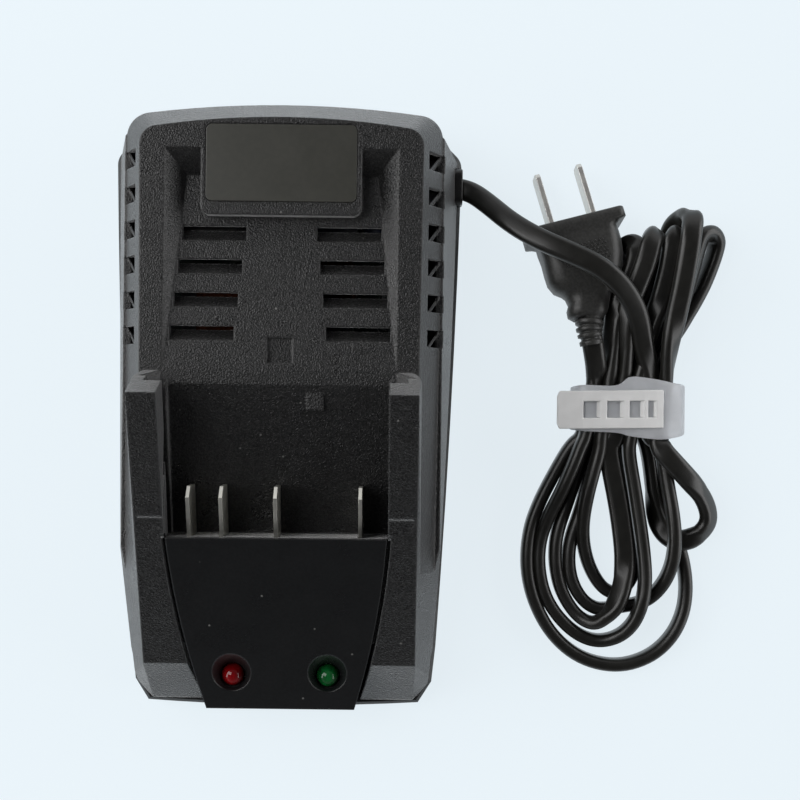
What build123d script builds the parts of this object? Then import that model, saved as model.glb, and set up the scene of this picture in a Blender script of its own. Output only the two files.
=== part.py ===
from build123d import *

import os
from math import atan, cos, pi, radians, sin, sqrt, tan

# Slide-in battery charger with its mains lead, in millimetres.
# +Z is up, +Y points to the rear deck, -Y to the lamps.
# The origin is under the middle of the charger, on the surface it stands on.

os.makedirs("parts", exist_ok=True)

# --- Walls and general clearances ----------------------------------------------------------
wall = 2.4                      # moulded wall of both shells
seat_gap = 0.15                 # between a piece and the pocket it drops into
shell_step = 1.1                # the lower shell stands proud of the upper one by this
shadow_height = 0.5             # dark line between the shells
shadow_depth = 0.8

# --- Heights -------------------------------------------------------------------------------
foot_stand = 1.2                # how far the rubber feet reach below the lower shell
lower_height = 7.8              # lower shell, from its underside to the joint line
joint_z = foot_stand + lower_height
band_z = 26.0                   # lower edge of the sloping band round the deck
deck_z = 37.0
rail_peak_z = 57.0

# --- Plan of the housing -------------------------------------------------------------------
body_half_length = 85.9         # upper body, middle of the bowed ends
body_rear_half = 44.6
body_front_half = 43.2
body_front_y = 16.9 - body_half_length      # where the sides end and the front corners begin
end_bow = 3.4                   # rise of the bowed rear end
body_corner = 7.0
deck_corner = 5.0
corner_half = 38.5              # front corner facets start here
corner_y = 1.3 - body_half_length
facet_y = 6.4 - body_half_length
facet_half = 42.4
facet_share = 0.5               # how much the facets' ends move when the plan is drawn in
base_rear_half = 50.6           # lower shell, widest, at the rear
base_middle_half = 49.0
base_middle_y = 17.0
base_front_half = 44.6
base_rear_y = body_half_length - 12.4       # where the rear corners begin
base_chamfer_half = 40.5        # rear corner of the lower shell runs from here
base_corner = 5.0
base_edge = 1.0                 # bevel round both edges of the lower shell

# --- Sloping band, flanks, rails and front -------------------------------------------------
band_run = 5.5                  # the band leans in by this from band_z to deck_z
flank_top_half = 44.9
flank_ledge = 0.3               # flanks end this much under the band
flank_tuck = 1.2                # how far the flanks' ends are buried in the body
rail_half = 38.4                # outer edge of a rail's top
rail_root_half = 39.3
lip_half = 30.5                 # free edge of the overhanging lip
rail_nose_y = 10.7              # rear tip of the rails
rail_peak_y = 4.4               # where the nose meets the top slope
rail_corner = 3.6
bend_y = 13.9 - body_half_length            # where the top slope turns down to the front
bend_z = 24.6                   # height of the top slope there
front_foot_y = 0.7 - body_half_length       # foot of the steep front slope

# --- Battery bay ---------------------------------------------------------------------------
ramp_start_y = 7.0
ramp_slope = 18.0               # degrees
bay_front_y = -35.0             # wall that carries the contact blades
groove_half = 35.4              # bottom of the undercut in each rail
groove_lift = 3.6               # floor of the undercut above the ramp
groove_height = 6.0

# --- Deck recess, pad and vents ------------------------------------------------------------
recess_half = 32.2
recess_depth = 5.6
recess_rear_y = body_half_length - 13.9
recess_toe_y = recess_rear_y - 7.0
recess_front_y = 11.0
pad_half = 22.1
pad_front_y = recess_rear_y - 16.0
pad_corner = 2.5
label_width = 41.4
label_depth = 21.1
label_y = body_half_length - 18.1
label_thickness = 0.6
label_proud = 0.15
label_corner = 1.6
vent_count = 4
vent_pitch = 9.27
vent_first_y = recess_rear_y - 23.2
vent_width = 4.0
vent_inner_half = 9.8
vent_outer_half = 27.6
vent_spread = 0.95              # each row lies this much further out than the last
vent_blade = 1.3
vent_blade_drop = 3.2
vent_blade_sink = 0.5
louver_count = 6
louver_pitch = 9.84
louver_first_y = body_half_length - 16.3
louver_height = 4.9
louver_inner_half = 40.6
louver_floor_z = 24.6
louver_blade = 1.3
louver_blade_sink = 0.5
pit_side = 7.0
pit_depth = 1.2
pit_y = 16.4
stud_side = 4.8
stud_rise = 0.9
stud_x = 9.9
stud_y = 2.4

# --- Front cover and lamps -----------------------------------------------------------------
cover_thick = 3.0
cover_wall = 2.2
cover_rear_half = 30.2
cover_middle_half = 27.5
cover_middle_y = 27.9 - body_half_length
cover_front_half = 21.2
cover_groove = 1.1              # open groove round the cover
cover_ledge = 2.0
cover_ledge_width = 2.6
cover_nose_y = 19.9 - body_half_length
lamp_x = 13.6
lamp_y = 9.9 - body_half_length
lamp_diameter = 6.4
lamp_rim = 0.7
lamp_rim_height = 1.0
lamp_body = 7.0                 # height of a lamp's barrel below its dome
lamp_sink = 1.2                 # top of the dome below the cover's surface
well_diameter = 7.2
well_mouth = 10.8
well_depth = 3.2
well_wall = 1.4
holder_diameter = 8.4

# --- Contact blades ------------------------------------------------------------------------
blade_x = (-24.3, -15.3, -0.4, 22.8)
blade_thick = 1.0
blade_reach = 14.0
blade_chamfer = 3.0
blade_lift = 0.5
blade_tail = 6.5                # length of a blade behind the wall
block_depth = 9.0
block_margin = 3.2
block_clearance = 1.0           # under the ledge that carries the cover
pin_width = 4.0

# --- Circuit board -------------------------------------------------------------------------
board_z = 8.4                   # underside of the board
board_thick = 1.6
board_half = 36.0
board_rear_y = body_half_length - 25.9
board_shoulder_y = 28.9 - body_half_length
board_front_y = 4.9 - body_half_length
board_front_half = 18.0
pin_stand = 1.0                 # how far soldered pins stand out below the board

# --- Parts on the board --------------------------------------------------------------------
part_gap = 3.0                  # between the transformer and the large capacitor
core_width = 30.0
core_depth = 26.0
core_height = 11.0
core_leg = 9.0
core_window = 6.0
core_window_depth = 17.0
core_lift = 2.4
winding_side = 2.0              # winding thickness above and below the core
bulk_diameter = 15.0
bulk_length = 26.0
bulk_place = (-15.5, board_rear_y - 9.5)
core_place = (-14.0, bulk_place[1] - bulk_diameter / 2 - part_gap - core_depth / 2)
filter_size = (17.0, 7.0, 11.0)
filter_corner = 1.0
filter_place = (12.0, board_rear_y - 8.0)
choke_diameter = 18.4
choke_hole = 7.2
choke_height = 5.6
ring_bevel = 1.2                # edges of the wound rings
choke_place = (12.0, filter_place[1] - 15.0)
fuse_diameter = 5.2
fuse_length = 20.0
fuse_cap = 5.0
fuse_cap_proud = 0.4
fuse_place = (29.5, board_rear_y - 27.0)
bridge_size = (15.0, 4.6, 11.0)
bridge_place = (12.0, choke_place[1] - 15.0)
sink_length = 30.0
sink_height = 14.0
sink_plate = 2.0
sink_fin = 1.2
sink_fin_count = 4
sink_fin_run = 7.0
sink_place = (24.0, -2.0)
transistor_width = 10.0
transistor_height = 15.0
transistor_thick = 4.4
transistor_tab = 1.4
transistor_body = 9.0
transistor_offset = 8.0
output_diameter = 8.0
output_height = 11.5
output_places = ((-28.0, -2.0), (-28.0, -12.0), (-28.0, -22.0))
coil_diameter = 15.4
coil_hole = 6.2
coil_height = 4.6
coil_place = (-10.0, -12.0)
chip_size = (10.0, 7.6, 2.2)
chip_place = (0.0, bay_front_y - 21.0)
varistor_diameter = 10.0
varistor_thick = 3.6
varistor_place = (27.0, board_rear_y - 8.0)

# --- Screws and feet -----------------------------------------------------------------------
screw_x = 34.0
screw_rear_y = body_half_length - 11.4
screw_front_y = 18.9 - body_half_length
screw_thread = 3.0
screw_head = 5.6
screw_head_height = 2.0
screw_length = 13.0
screw_cross = 1.0
screw_cross_length = 3.2
screw_cross_depth = 1.1
screw_post = 8.4
screw_seat_z = 5.6
board_screw_x = 32.0
board_screw_rear_y = board_rear_y - 5.0
board_screw_front_y = board_shoulder_y + 7.0
board_screw_thread = 2.2
board_screw_length = 5.0
board_screw_head = 4.4
board_screw_head_height = 1.4
board_post = 6.0
foot_diameter = 11.0
foot_recess = 1.0
foot_bevel = 0.5
foot_x = 34.0
foot_rear_y = body_half_length - 27.9
foot_front_y = 31.9 - body_half_length
base_vent_count = 7
base_vent_length = 18.0
base_vent_width = 2.6
base_vent_pitch = 7.0
base_vent_x = 12.0
rim_height = 1.6
rim_thick = 1.2
rim_foot = 1.5
rim_gap = 0.7                   # from the rim to the upper shell's leaning flanks
rim_rear_y = body_half_length - 33.9
rim_front_y = 41.9 - body_half_length

# --- Mains lead ----------------------------------------------------------------------------
cord_width = 6.2                # flat twin lead
cord_thick = 3.8
cord_diameter = 5.0             # round tube that stands for the flat lead outside
inlet_y = body_half_length - 20.0
bushing_half_width = 5.2
bushing_half_height = 3.8
bushing_lip = 0.8
bushing_flange = 1.6
sheath_inner_x = 39.5
clamp_x = 41.9
clamp_width = 3.8
clamp_height = 2.4
clamp_half_length = 6.8
clamp_screw_offset = 4.7
clamp_screw_length = 8.0
wire_diameter = 1.8
wire_spacing = 3.0
cord_route = (
    (53.0, inlet_y - 0.3, joint_z),
    (59.6, inlet_y - 4.7, 13.2),
    (66.4, 56.3, 19.0),
    (74.0, 51.2, 23.3),
    (82.6, 46.4, 24.6),
    (91.0, 41.6, 24.2),
    (98.0, 35.4, 22.0),
    (102.4, 27.6, 18.2),
    (104.0, 20.4, 13.8),
)
hank_height = 14.0
hank_edge = 3.6
hank_outline = (
    (86.5, 6.0), (84.6, -6.0), (76.0, -26.0), (70.4, -50.0), (75.0, -68.0), (92.0, -76.6), (108.0, -71.0),
    (117.5, -54.0), (126.0, -38.0), (123.6, -26.0), (111.0, -8.0), (110.4, 6.0), (116.0, 24.0), (126.4, 46.0),
    (121.0, 58.0), (108.0, 56.6), (101.5, 42.0), (96.0, 29.0), (89.5, 17.0),
)

# --- Plug ----------------------------------------------------------------------------------
plug_foot = (83.6, 56.9, 9.95)  # middle of the flange's outer face
plug_turn = 16.5                # degrees, blades point this far left of the rear
plug_pitch = 8.0                # degrees, blades point down by this
plug_roll = -12.0               # degrees, the plug lies rolled towards the hank
flange_width = 28.0
flange_height = 17.0
flange_thick = 3.2
flange_corner = 6.5
grip_width = 23.0
grip_height = 15.0
grip_end_width = 12.0
grip_end_height = 10.0
grip_length = 22.0
grip_corner = 4.5
tail_length = 13.0
tail_radius = 4.2
tail_end_radius = 3.3
tail_ring_count = 4
tail_ring_width = 1.6
tail_ring_rise = 0.8
plug_blade_spacing = 12.7
plug_blade_width = 6.35
plug_blade_thick = 1.5
plug_blade_length = 15.9
plug_blade_tip = 1.6            # bevel on both corners of a blade's end

# --- Cord tie ------------------------------------------------------------------------------
tie_middle = (99.3, 1.0)
tie_length = 11.0
tie_thick = 1.1
tie_half = 15.9
tie_top_z = 16.4
tie_turn = 3.0
tie_corner = 3.0
tie_tail = 4.7

slope_rate = (rail_peak_z - bend_z) / (rail_peak_y - bend_y)
top_slope = atan(slope_rate)    # tops of the rails and the front cover
ramp_rate = tan(radians(ramp_slope))
band_rise = deck_z - band_z
board_top = board_z + board_thick
rear_corner_y = body_half_length - end_bow
base_half_length = body_half_length + shell_step
inlet_z = joint_z
screw_seat_depth = joint_z - screw_seat_z
screw_places = [(x, y) for x in (-screw_x, screw_x) for y in (screw_rear_y, screw_front_y)]
board_screw_places = [
    (x, y) for x in (-board_screw_x, board_screw_x) for y in (board_screw_rear_y, board_screw_front_y)
]
foot_places = [(x, y) for x in (-foot_x, foot_x) for y in (foot_rear_y, foot_front_y)]
clamp_screw_places = [(clamp_x, inlet_y + side * clamp_screw_offset) for side in (-1, 1)]
bushing_face_x = base_rear_half + bushing_lip
far = 2 * body_half_length


def slope_z(y):
    """Height of the rails' and the front cover's sloping top at y."""
    return rail_peak_z - (rail_peak_y - y) * slope_rate


def ramp_z(y):
    """Height of the battery bay's ramp at y."""
    return deck_z - (ramp_start_y - y) * ramp_rate


cover_drop = cover_thick / cos(top_slope)
ledge_drop = (cover_thick + cover_ledge) / cos(top_slope)
blade_foot_z = ramp_z(bay_front_y) + blade_lift
blade_height = slope_z(bay_front_y - wall) - cover_drop - blade_foot_z - seat_gap
block_top = slope_z(bay_front_y - wall - block_depth) - ledge_drop - block_clearance


def body_plan(inset, corner):
    """Plan of the upper body: bowed ends, round rear corners, faceted front corners."""
    rear_half = body_rear_half - inset
    rear_y = rear_corner_y - inset
    front_half = corner_half - facet_share * inset
    front_y = corner_y + inset
    with BuildLine() as outline:
        ThreePointArc((-rear_half, rear_y), (0, body_half_length - inset), (rear_half, rear_y))
        for side in (-1, 1):
            Polyline(
                (side * rear_half, rear_y),
                (side * (body_front_half - inset), body_front_y),
                (side * (facet_half - inset), facet_y + facet_share * inset),
                (side * front_half, front_y),
            )
        ThreePointArc((-front_half, front_y), (0, inset - body_half_length), (front_half, front_y))
    make_face(outline.line)
    fillet(vertices().group_by(Axis.Y)[-1], radius=corner)


def base_plan(inset, mode=Mode.ADD):
    """Plan of the lower shell: bowed ends with sides that swell out to the rear."""
    front_y = corner_y - shell_step
    rear_y = base_rear_y + base_rear_half - base_chamfer_half
    with BuildLine() as outline:
        ThreePointArc((-base_chamfer_half, rear_y), (0, base_half_length), (base_chamfer_half, rear_y))
        for side in (-1, 1):
            Line((side * base_chamfer_half, rear_y), (side * base_rear_half, base_rear_y))
            ThreePointArc(
                (side * base_rear_half, base_rear_y),
                (side * base_middle_half, base_middle_y),
                (side * base_front_half, body_front_y),
            )
            Polyline(
                (side * base_front_half, body_front_y),
                (side * (facet_half + shell_step), facet_y),
                (side * (corner_half + shell_step), front_y),
            )
        ThreePointArc(
            (-corner_half - shell_step, front_y), (0, -base_half_length), (corner_half + shell_step, front_y)
        )
    with BuildSketch(mode=Mode.PRIVATE) as plan:
        make_face(outline.line)
        fillet(vertices().group_by(Axis.Y)[-1], radius=base_corner)
        fillet(vertices().filter_by_position(Axis.Y, base_rear_y - 1, base_rear_y + 1), radius=base_corner)
        if inset:
            offset(amount=-inset, mode=Mode.REPLACE)
    add(plan.sketch, mode=mode)


def cover_plan(grow):
    """Plan of the front cover: straight at the bay and the front, bowed sides that draw in."""
    with BuildLine() as outline:
        for side in (-1, 1):
            ThreePointArc(
                (side * cover_rear_half, bay_front_y),
                (side * cover_middle_half, cover_middle_y),
                (side * cover_front_half, -body_half_length),
            )
        Line((-cover_rear_half, bay_front_y), (cover_rear_half, bay_front_y))
        Line((-cover_front_half, -body_half_length), (cover_front_half, -body_half_length))
    make_face(outline.line)
    if grow:
        offset(amount=grow, kind=Kind.INTERSECTION, mode=Mode.REPLACE)


def front_cut(grow):
    """What lies above the top slope and ahead of the steep front slope."""
    with BuildPart() as cut:
        with BuildSketch(Plane.YZ):
            front_rate = (bend_z - joint_z) / (bend_y - front_foot_y)
            low_y = front_foot_y - joint_z / front_rate
            Polygon(
                (far, slope_z(far)), (bend_y, bend_z), (low_y, 0), (-far, 0), (-far, far), (far, far),
                align=None,
            )
            if grow:
                offset(amount=grow, kind=Kind.INTERSECTION, mode=Mode.REPLACE)
        extrude(amount=far, both=True)
    return cut.part


def corner_cut(side, grow):
    """What a sloping facet takes off a front corner."""
    top_reach = (corner_half - bend_y) / sqrt(2)
    foot_reach = (corner_half - corner_y) / sqrt(2)
    rate = (bend_z - joint_z) / (foot_reach - top_reach)
    low_reach = foot_reach + joint_z / rate
    high_reach = top_reach - (far - bend_z) / rate
    diagonal = Plane(origin=(0, 0, 0), x_dir=(side, -1, 0), z_dir=(-1, -side, 0))
    with BuildPart() as cut:
        with BuildSketch(diagonal):
            Polygon((low_reach, 0), (high_reach, far), (far, far), (far, 0), align=None)
            if grow:
                offset(amount=grow, kind=Kind.INTERSECTION, mode=Mode.REPLACE)
        extrude(amount=far, both=True)
    return cut.part


def side_cut(side, grow):
    """What the band takes off a side where the top slope has come down below the deck."""
    with BuildPart() as cut:
        with BuildSketch(Plane.XZ.offset(-far)):
            start_z = slope_z(far)
            Polygon(
                (side * rail_half, start_z),
                (side * (rail_half + 2 * band_run), start_z - 2 * band_rise),
                (side * far, start_z - 2 * band_rise),
                (side * far, start_z + far),
                (side * rail_half, start_z + far),
                align=None,
            )
            if grow:
                offset(amount=grow, kind=Kind.INTERSECTION, mode=Mode.REPLACE)
        downhill = (0, -cos(top_slope), -sin(top_slope))
        extrude(amount=2 * far / cos(top_slope), dir=downhill)
    return cut.part


def flank_form(inset):
    """The two flanks that swell out below the band, with a steep sloping roof."""
    side_shift = shell_step + inset
    diagonal = base_rear_half + base_rear_y - 2 * side_shift
    rear_y = rear_corner_y - flank_tuck - inset
    foot_half = base_rear_half - side_shift
    roof_half = flank_top_half - inset
    with BuildPart() as flanks:
        with BuildSketch(Plane.XY.offset(joint_z)):
            with BuildLine() as outline:
                for side in (-1, 1):
                    Polyline(
                        (0, rear_y),
                        (side * (diagonal - rear_y), rear_y),
                        (side * foot_half, base_rear_y - side_shift),
                    )
                    ThreePointArc(
                        (side * foot_half, base_rear_y - side_shift),
                        (side * (base_middle_half - side_shift), base_middle_y),
                        (side * (base_front_half - side_shift), body_front_y),
                    )
                    Polyline(
                        (side * (base_front_half - side_shift), body_front_y),
                        (side * (facet_half - flank_tuck - inset), facet_y),
                        (0, facet_y),
                    )
            make_face(outline.line)
        extrude(amount=band_z - flank_ledge - joint_z)
        with BuildSketch(Plane.XZ):
            Polygon(
                (-foot_half, joint_z), (foot_half, joint_z), (roof_half, band_z), (-roof_half, band_z),
                align=None,
            )
        extrude(amount=far, both=True, mode=Mode.INTERSECT)
    return flanks.part


def body_form(inset):
    """Closed form of the upper housing without its rails, drawn in by inset."""
    cuts = [front_cut(inset)]
    for side in (-1, 1):
        cuts.append(corner_cut(side, inset))
        cuts.append(side_cut(side, inset))
    with BuildPart() as form:
        with BuildSketch(Plane.XY.offset(joint_z)):
            body_plan(inset, body_corner)
        extrude(amount=band_z - joint_z)
        with BuildSketch(Plane.XY.offset(band_z)):
            body_plan(inset, body_corner)
        with BuildSketch(Plane.XY.offset(deck_z - inset)):
            body_plan(inset + band_run * (band_rise - inset) / band_rise, deck_corner)
        loft()
        add(flank_form(inset))
        add(cuts, mode=Mode.SUBTRACT)
    return form.part


def recess_form(grow):
    """The wedge-shaped hollow in the rear deck, deepest at the rear."""
    with BuildPart() as hollow:
        with BuildSketch(Plane.YZ):
            Polygon(
                (2 * recess_rear_y - recess_toe_y, deck_z + recess_depth),
                (recess_toe_y, deck_z - recess_depth),
                (2 * recess_front_y - recess_toe_y, deck_z + recess_depth),
                align=None,
            )
            if grow:
                offset(amount=grow, kind=Kind.INTERSECTION, mode=Mode.REPLACE)
        extrude(amount=far, both=True)
        with BuildSketch(Plane.XZ):
            Polygon(
                (-recess_half - recess_depth, deck_z + recess_depth),
                (-recess_half + recess_depth, deck_z - recess_depth),
                (recess_half - recess_depth, deck_z - recess_depth),
                (recess_half + recess_depth, deck_z + recess_depth),
                align=None,
            )
            if grow:
                offset(amount=grow, kind=Kind.INTERSECTION, mode=Mode.REPLACE)
        extrude(amount=far, both=True, mode=Mode.INTERSECT)
    return hollow.part


def bay_form(grow):
    """The battery bay: the space over the ramp and the undercut behind each lip."""
    groove_foot = groove_lift
    groove_top = groove_lift + groove_height
    with BuildPart() as bay:
        with BuildSketch(Plane.YZ):
            Polygon(
                (ramp_start_y, deck_z),
                (bay_front_y, ramp_z(bay_front_y)),
                (bay_front_y, far),
                (ramp_start_y, far),
                align=None,
            )
            if grow:
                offset(amount=grow, kind=Kind.INTERSECTION, mode=Mode.REPLACE)
        extrude(amount=lip_half + grow, both=True)
        with BuildSketch(Plane.YZ):
            Polygon(
                (rail_nose_y + wall, ramp_z(rail_nose_y + wall) + groove_foot),
                (bay_front_y, ramp_z(bay_front_y) + groove_foot),
                (bay_front_y, ramp_z(bay_front_y) + groove_top),
                (rail_nose_y + wall, ramp_z(rail_nose_y + wall) + groove_top),
                align=None,
            )
            if grow:
                offset(amount=grow, kind=Kind.INTERSECTION, mode=Mode.REPLACE)
        extrude(amount=groove_half + grow, both=True)
    return bay.part


def cover_form(grow, drop):
    """Space of the front cover: a plate under the top slope and a box at the nose."""
    with BuildPart() as space:
        with BuildSketch():
            cover_plan(grow)
        extrude(amount=far)
        with BuildSketch(Plane.YZ):
            rear_y = bay_front_y + far
            Polygon(
                (rear_y, slope_z(rear_y)),
                (rear_y, slope_z(rear_y) - drop),
                (cover_nose_y, slope_z(cover_nose_y) - drop),
                (cover_nose_y, joint_z),
                (-far, joint_z),
                (-far, slope_z(-far)),
                align=None,
            )
        extrude(amount=far, both=True, mode=Mode.INTERSECT)
    return space.part


def cover_top_cut():
    """What lies above the front cover's sloping top."""
    with BuildPart() as cut:
        with BuildSketch(Plane.YZ):
            Polygon((far, slope_z(far)), (-far, slope_z(-far)), (-far, far), (far, far), align=None)
        extrude(amount=far, both=True)
    return cut.part


def nose_space():
    """The hollow inside the front cover's nose, open at the bottom and to the rear."""
    with BuildPart() as space:
        with BuildSketch():
            cover_plan(-cover_wall)
        extrude(amount=far)
        with BuildSketch(Plane.YZ):
            top_y = -body_half_length
            Polygon(
                (cover_nose_y + wall, 0),
                (cover_nose_y + wall, slope_z(cover_nose_y + wall) - cover_drop),
                (top_y, slope_z(top_y) - cover_drop),
                (top_y, 0),
                align=None,
            )
        extrude(amount=far, both=True, mode=Mode.INTERSECT)
    return space.part


def bushing_space(grow):
    """The cord bushing's body through the side wall, with a flange inside it."""
    wall_x = base_rear_half - shell_step - wall - 2 * seat_gap
    with BuildPart() as space:
        with BuildSketch(Plane.YZ.offset(wall_x)):
            with Locations((inlet_y, inlet_z)):
                RectangleRounded(
                    2 * (bushing_half_width + grow), 2 * (bushing_half_height + grow), bushing_half_height / 2
                )
        extrude(amount=bushing_face_x - wall_x)
        with BuildSketch(Plane.YZ.offset(wall_x)):
            with Locations((inlet_y, inlet_z)):
                RectangleRounded(
                    2 * (bushing_half_width + bushing_flange), 2 * (bushing_half_height + bushing_flange),
                    bushing_half_height / 2,
                )
        extrude(amount=-bushing_flange)
    return space.part


def place_z(part_height):
    """Middle height of a piece of this height that stands on the board."""
    return board_top + part_height / 2


def wound_ring(place, diameter, hole, height):
    """A wound ring core that lies flat on the board."""
    with BuildPart() as ring:
        with BuildSketch(Plane.XY.offset(board_top)):
            with Locations(place):
                Circle(diameter / 2)
                Circle(hole / 2, mode=Mode.SUBTRACT)
        extrude(amount=height)
        chamfer(edges().group_by(Axis.Z)[-1], length=ring_bevel)
    return ring.part


def recess_z(y):
    """Height of the recess floor at y."""
    return deck_z - recess_depth * (y - recess_front_y) / (recess_toe_y - recess_front_y)


def finish(builder, name):
    """Name a finished piece and write it out."""
    builder.part.label = name
    export_step(builder.part, f"parts/{name}.step")


# --- Upper shell ---------------------------------------------------------------------------
with BuildPart() as rails:
    with BuildSketch(Plane.XY.offset(band_z)):
        with Locations((0, (rail_nose_y - body_half_length) / 2)):
            Rectangle(2 * rail_root_half, rail_nose_y + body_half_length)
        with Locations((0, (rail_nose_y + bay_front_y) / 2)):
            Rectangle(2 * lip_half, rail_nose_y - bay_front_y, mode=Mode.SUBTRACT)
        fillet(vertices().group_by(Axis.Y)[-1], radius=rail_corner)
    extrude(amount=rail_peak_z - band_z)
    with BuildSketch(Plane.XZ):
        Polygon(
            (-rail_root_half, deck_z), (-rail_half, rail_peak_z), (rail_half, rail_peak_z),
            (rail_root_half, deck_z), (rail_root_half, band_z), (-rail_root_half, band_z),
            align=None,
        )
    extrude(amount=far, both=True, mode=Mode.INTERSECT)
    with BuildSketch(Plane.YZ):
        Polygon(
            (rail_nose_y, deck_z), (rail_peak_y, rail_peak_z), (rail_peak_y, far), (far, far), (far, deck_z),
            align=None,
        )
    extrude(amount=far, both=True, mode=Mode.SUBTRACT)
    add(
        [front_cut(0), corner_cut(-1, 0), corner_cut(1, 0), side_cut(-1, 0), side_cut(1, 0)],
        mode=Mode.SUBTRACT,
    )

with BuildPart() as inner_space:
    add(body_form(wall))
    add(recess_form(wall), mode=Mode.SUBTRACT)
    add(bay_form(wall), mode=Mode.SUBTRACT)
    add(cover_form(cover_groove + cover_ledge, ledge_drop), mode=Mode.SUBTRACT)

vents = []
for row in range(vent_count):
    for side in (-1, 1):
        inner = vent_inner_half + row * vent_spread
        outer = vent_outer_half + row * vent_spread
        vents.append((side * (inner + outer) / 2, vent_first_y - row * vent_pitch))
louver_rows = [louver_first_y - row * louver_pitch for row in range(louver_count)]

with BuildPart() as fittings:
    with BuildSketch(Plane.XY.offset(joint_z)):
        with Locations(*screw_places):
            Circle(screw_post / 2)
    extrude(amount=deck_z - joint_z)
    add(recess_form(wall / 2), mode=Mode.SUBTRACT)
    for x, y in vents:
        with BuildSketch(Plane.YZ.offset(x)):
            top_z = recess_z(y) - vent_blade_sink
            Polygon(
                (y - vent_width / 2 - vent_blade_sink, top_z),
                (y - vent_width / 2 - vent_blade_sink, top_z - vent_blade),
                (y + vent_width / 4, top_z - vent_blade_drop - vent_blade),
                (y + vent_width / 4, top_z - vent_blade_drop),
                align=None,
            )
        extrude(amount=(vent_outer_half - vent_inner_half) / 2 + vent_blade_sink, both=True)
    with BuildSketch(Plane.XY.offset(louver_floor_z - louver_blade_sink)):
        for y in louver_rows:
            for side in (-1, 1):
                Polygon(
                    (side * louver_inner_half, y - louver_height / 2 - louver_blade),
                    (side * louver_inner_half, y - louver_height / 2),
                    (side * body_rear_half, y + louver_height / 2 + louver_blade),
                    (side * body_rear_half, y + louver_height / 2),
                    align=None,
                )
    extrude(amount=deck_z - louver_floor_z)
    add(body_form(wall / 2), mode=Mode.INTERSECT)

with BuildPart() as upper_shell:
    add(body_form(0))
    add(rails.part)
    add([recess_form(0), bay_form(0), cover_form(cover_groove, cover_drop)], mode=Mode.SUBTRACT)
    with BuildSketch(Plane.XY.offset(deck_z)):
        with Locations((0, (pad_front_y + recess_rear_y) / 2)):
            Rectangle(2 * pad_half, recess_rear_y - pad_front_y + 2 * pad_corner)
        fillet(vertices().group_by(Axis.Y)[0], radius=pad_corner)
    extrude(amount=-recess_depth - wall / 2)
    add(inner_space.part, mode=Mode.SUBTRACT)
    with BuildSketch(Plane.XY.offset(deck_z)):
        for x, y in vents:
            with Locations((x, y)):
                Rectangle(vent_outer_half - vent_inner_half, vent_width)
    extrude(amount=-recess_depth - 2 * wall, mode=Mode.SUBTRACT)
    with BuildSketch(Plane.XY.offset(louver_floor_z)):
        for y in louver_rows:
            for side in (-1, 1):
                with Locations((side * (louver_inner_half + band_run), y)):
                    Rectangle(2 * band_run, louver_height)
    extrude(amount=deck_z - louver_floor_z, mode=Mode.SUBTRACT)
    add(fittings.part)
    with BuildSketch(Plane.XY.offset(deck_z + label_proud - label_thickness)):
        with Locations((0, label_y)):
            RectangleRounded(label_width + 2 * seat_gap, label_depth + 2 * seat_gap, label_corner + seat_gap)
    extrude(amount=label_thickness, mode=Mode.SUBTRACT)
    with BuildSketch(Plane.XY.offset(recess_z(pit_y) - pit_depth)):
        with Locations((0, pit_y)):
            Rectangle(pit_side, pit_side)
    extrude(amount=wall, mode=Mode.SUBTRACT)
    with BuildSketch(Plane.XY.offset(ramp_z(stud_y) + stud_rise)):
        with Locations((stud_x, stud_y)):
            Rectangle(stud_side, stud_side)
    extrude(amount=-wall)
    for x in blade_x:
        with Locations((x, bay_front_y, blade_foot_z)):
            Box(
                blade_thick + 2 * seat_gap, 3 * wall, blade_height + 2 * seat_gap,
                align=(Align.CENTER, Align.CENTER, Align.MIN),
                mode=Mode.SUBTRACT,
            )
    add(cover_form(-cover_ledge_width, 2 * ledge_drop), mode=Mode.SUBTRACT)
    with BuildSketch(Plane.XY.offset(joint_z)):
        with Locations(*screw_places):
            Circle(screw_thread / 2)
    extrude(amount=screw_length - screw_seat_depth + wall, mode=Mode.SUBTRACT)
    with BuildSketch(Plane.XY.offset(joint_z)):
        base_plan(shell_step - shadow_depth)
        base_plan(shell_step + shadow_depth, mode=Mode.SUBTRACT)
    extrude(amount=shadow_height, mode=Mode.SUBTRACT)
    add(bushing_space(seat_gap), mode=Mode.SUBTRACT)
finish(upper_shell, "upper_shell")

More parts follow.
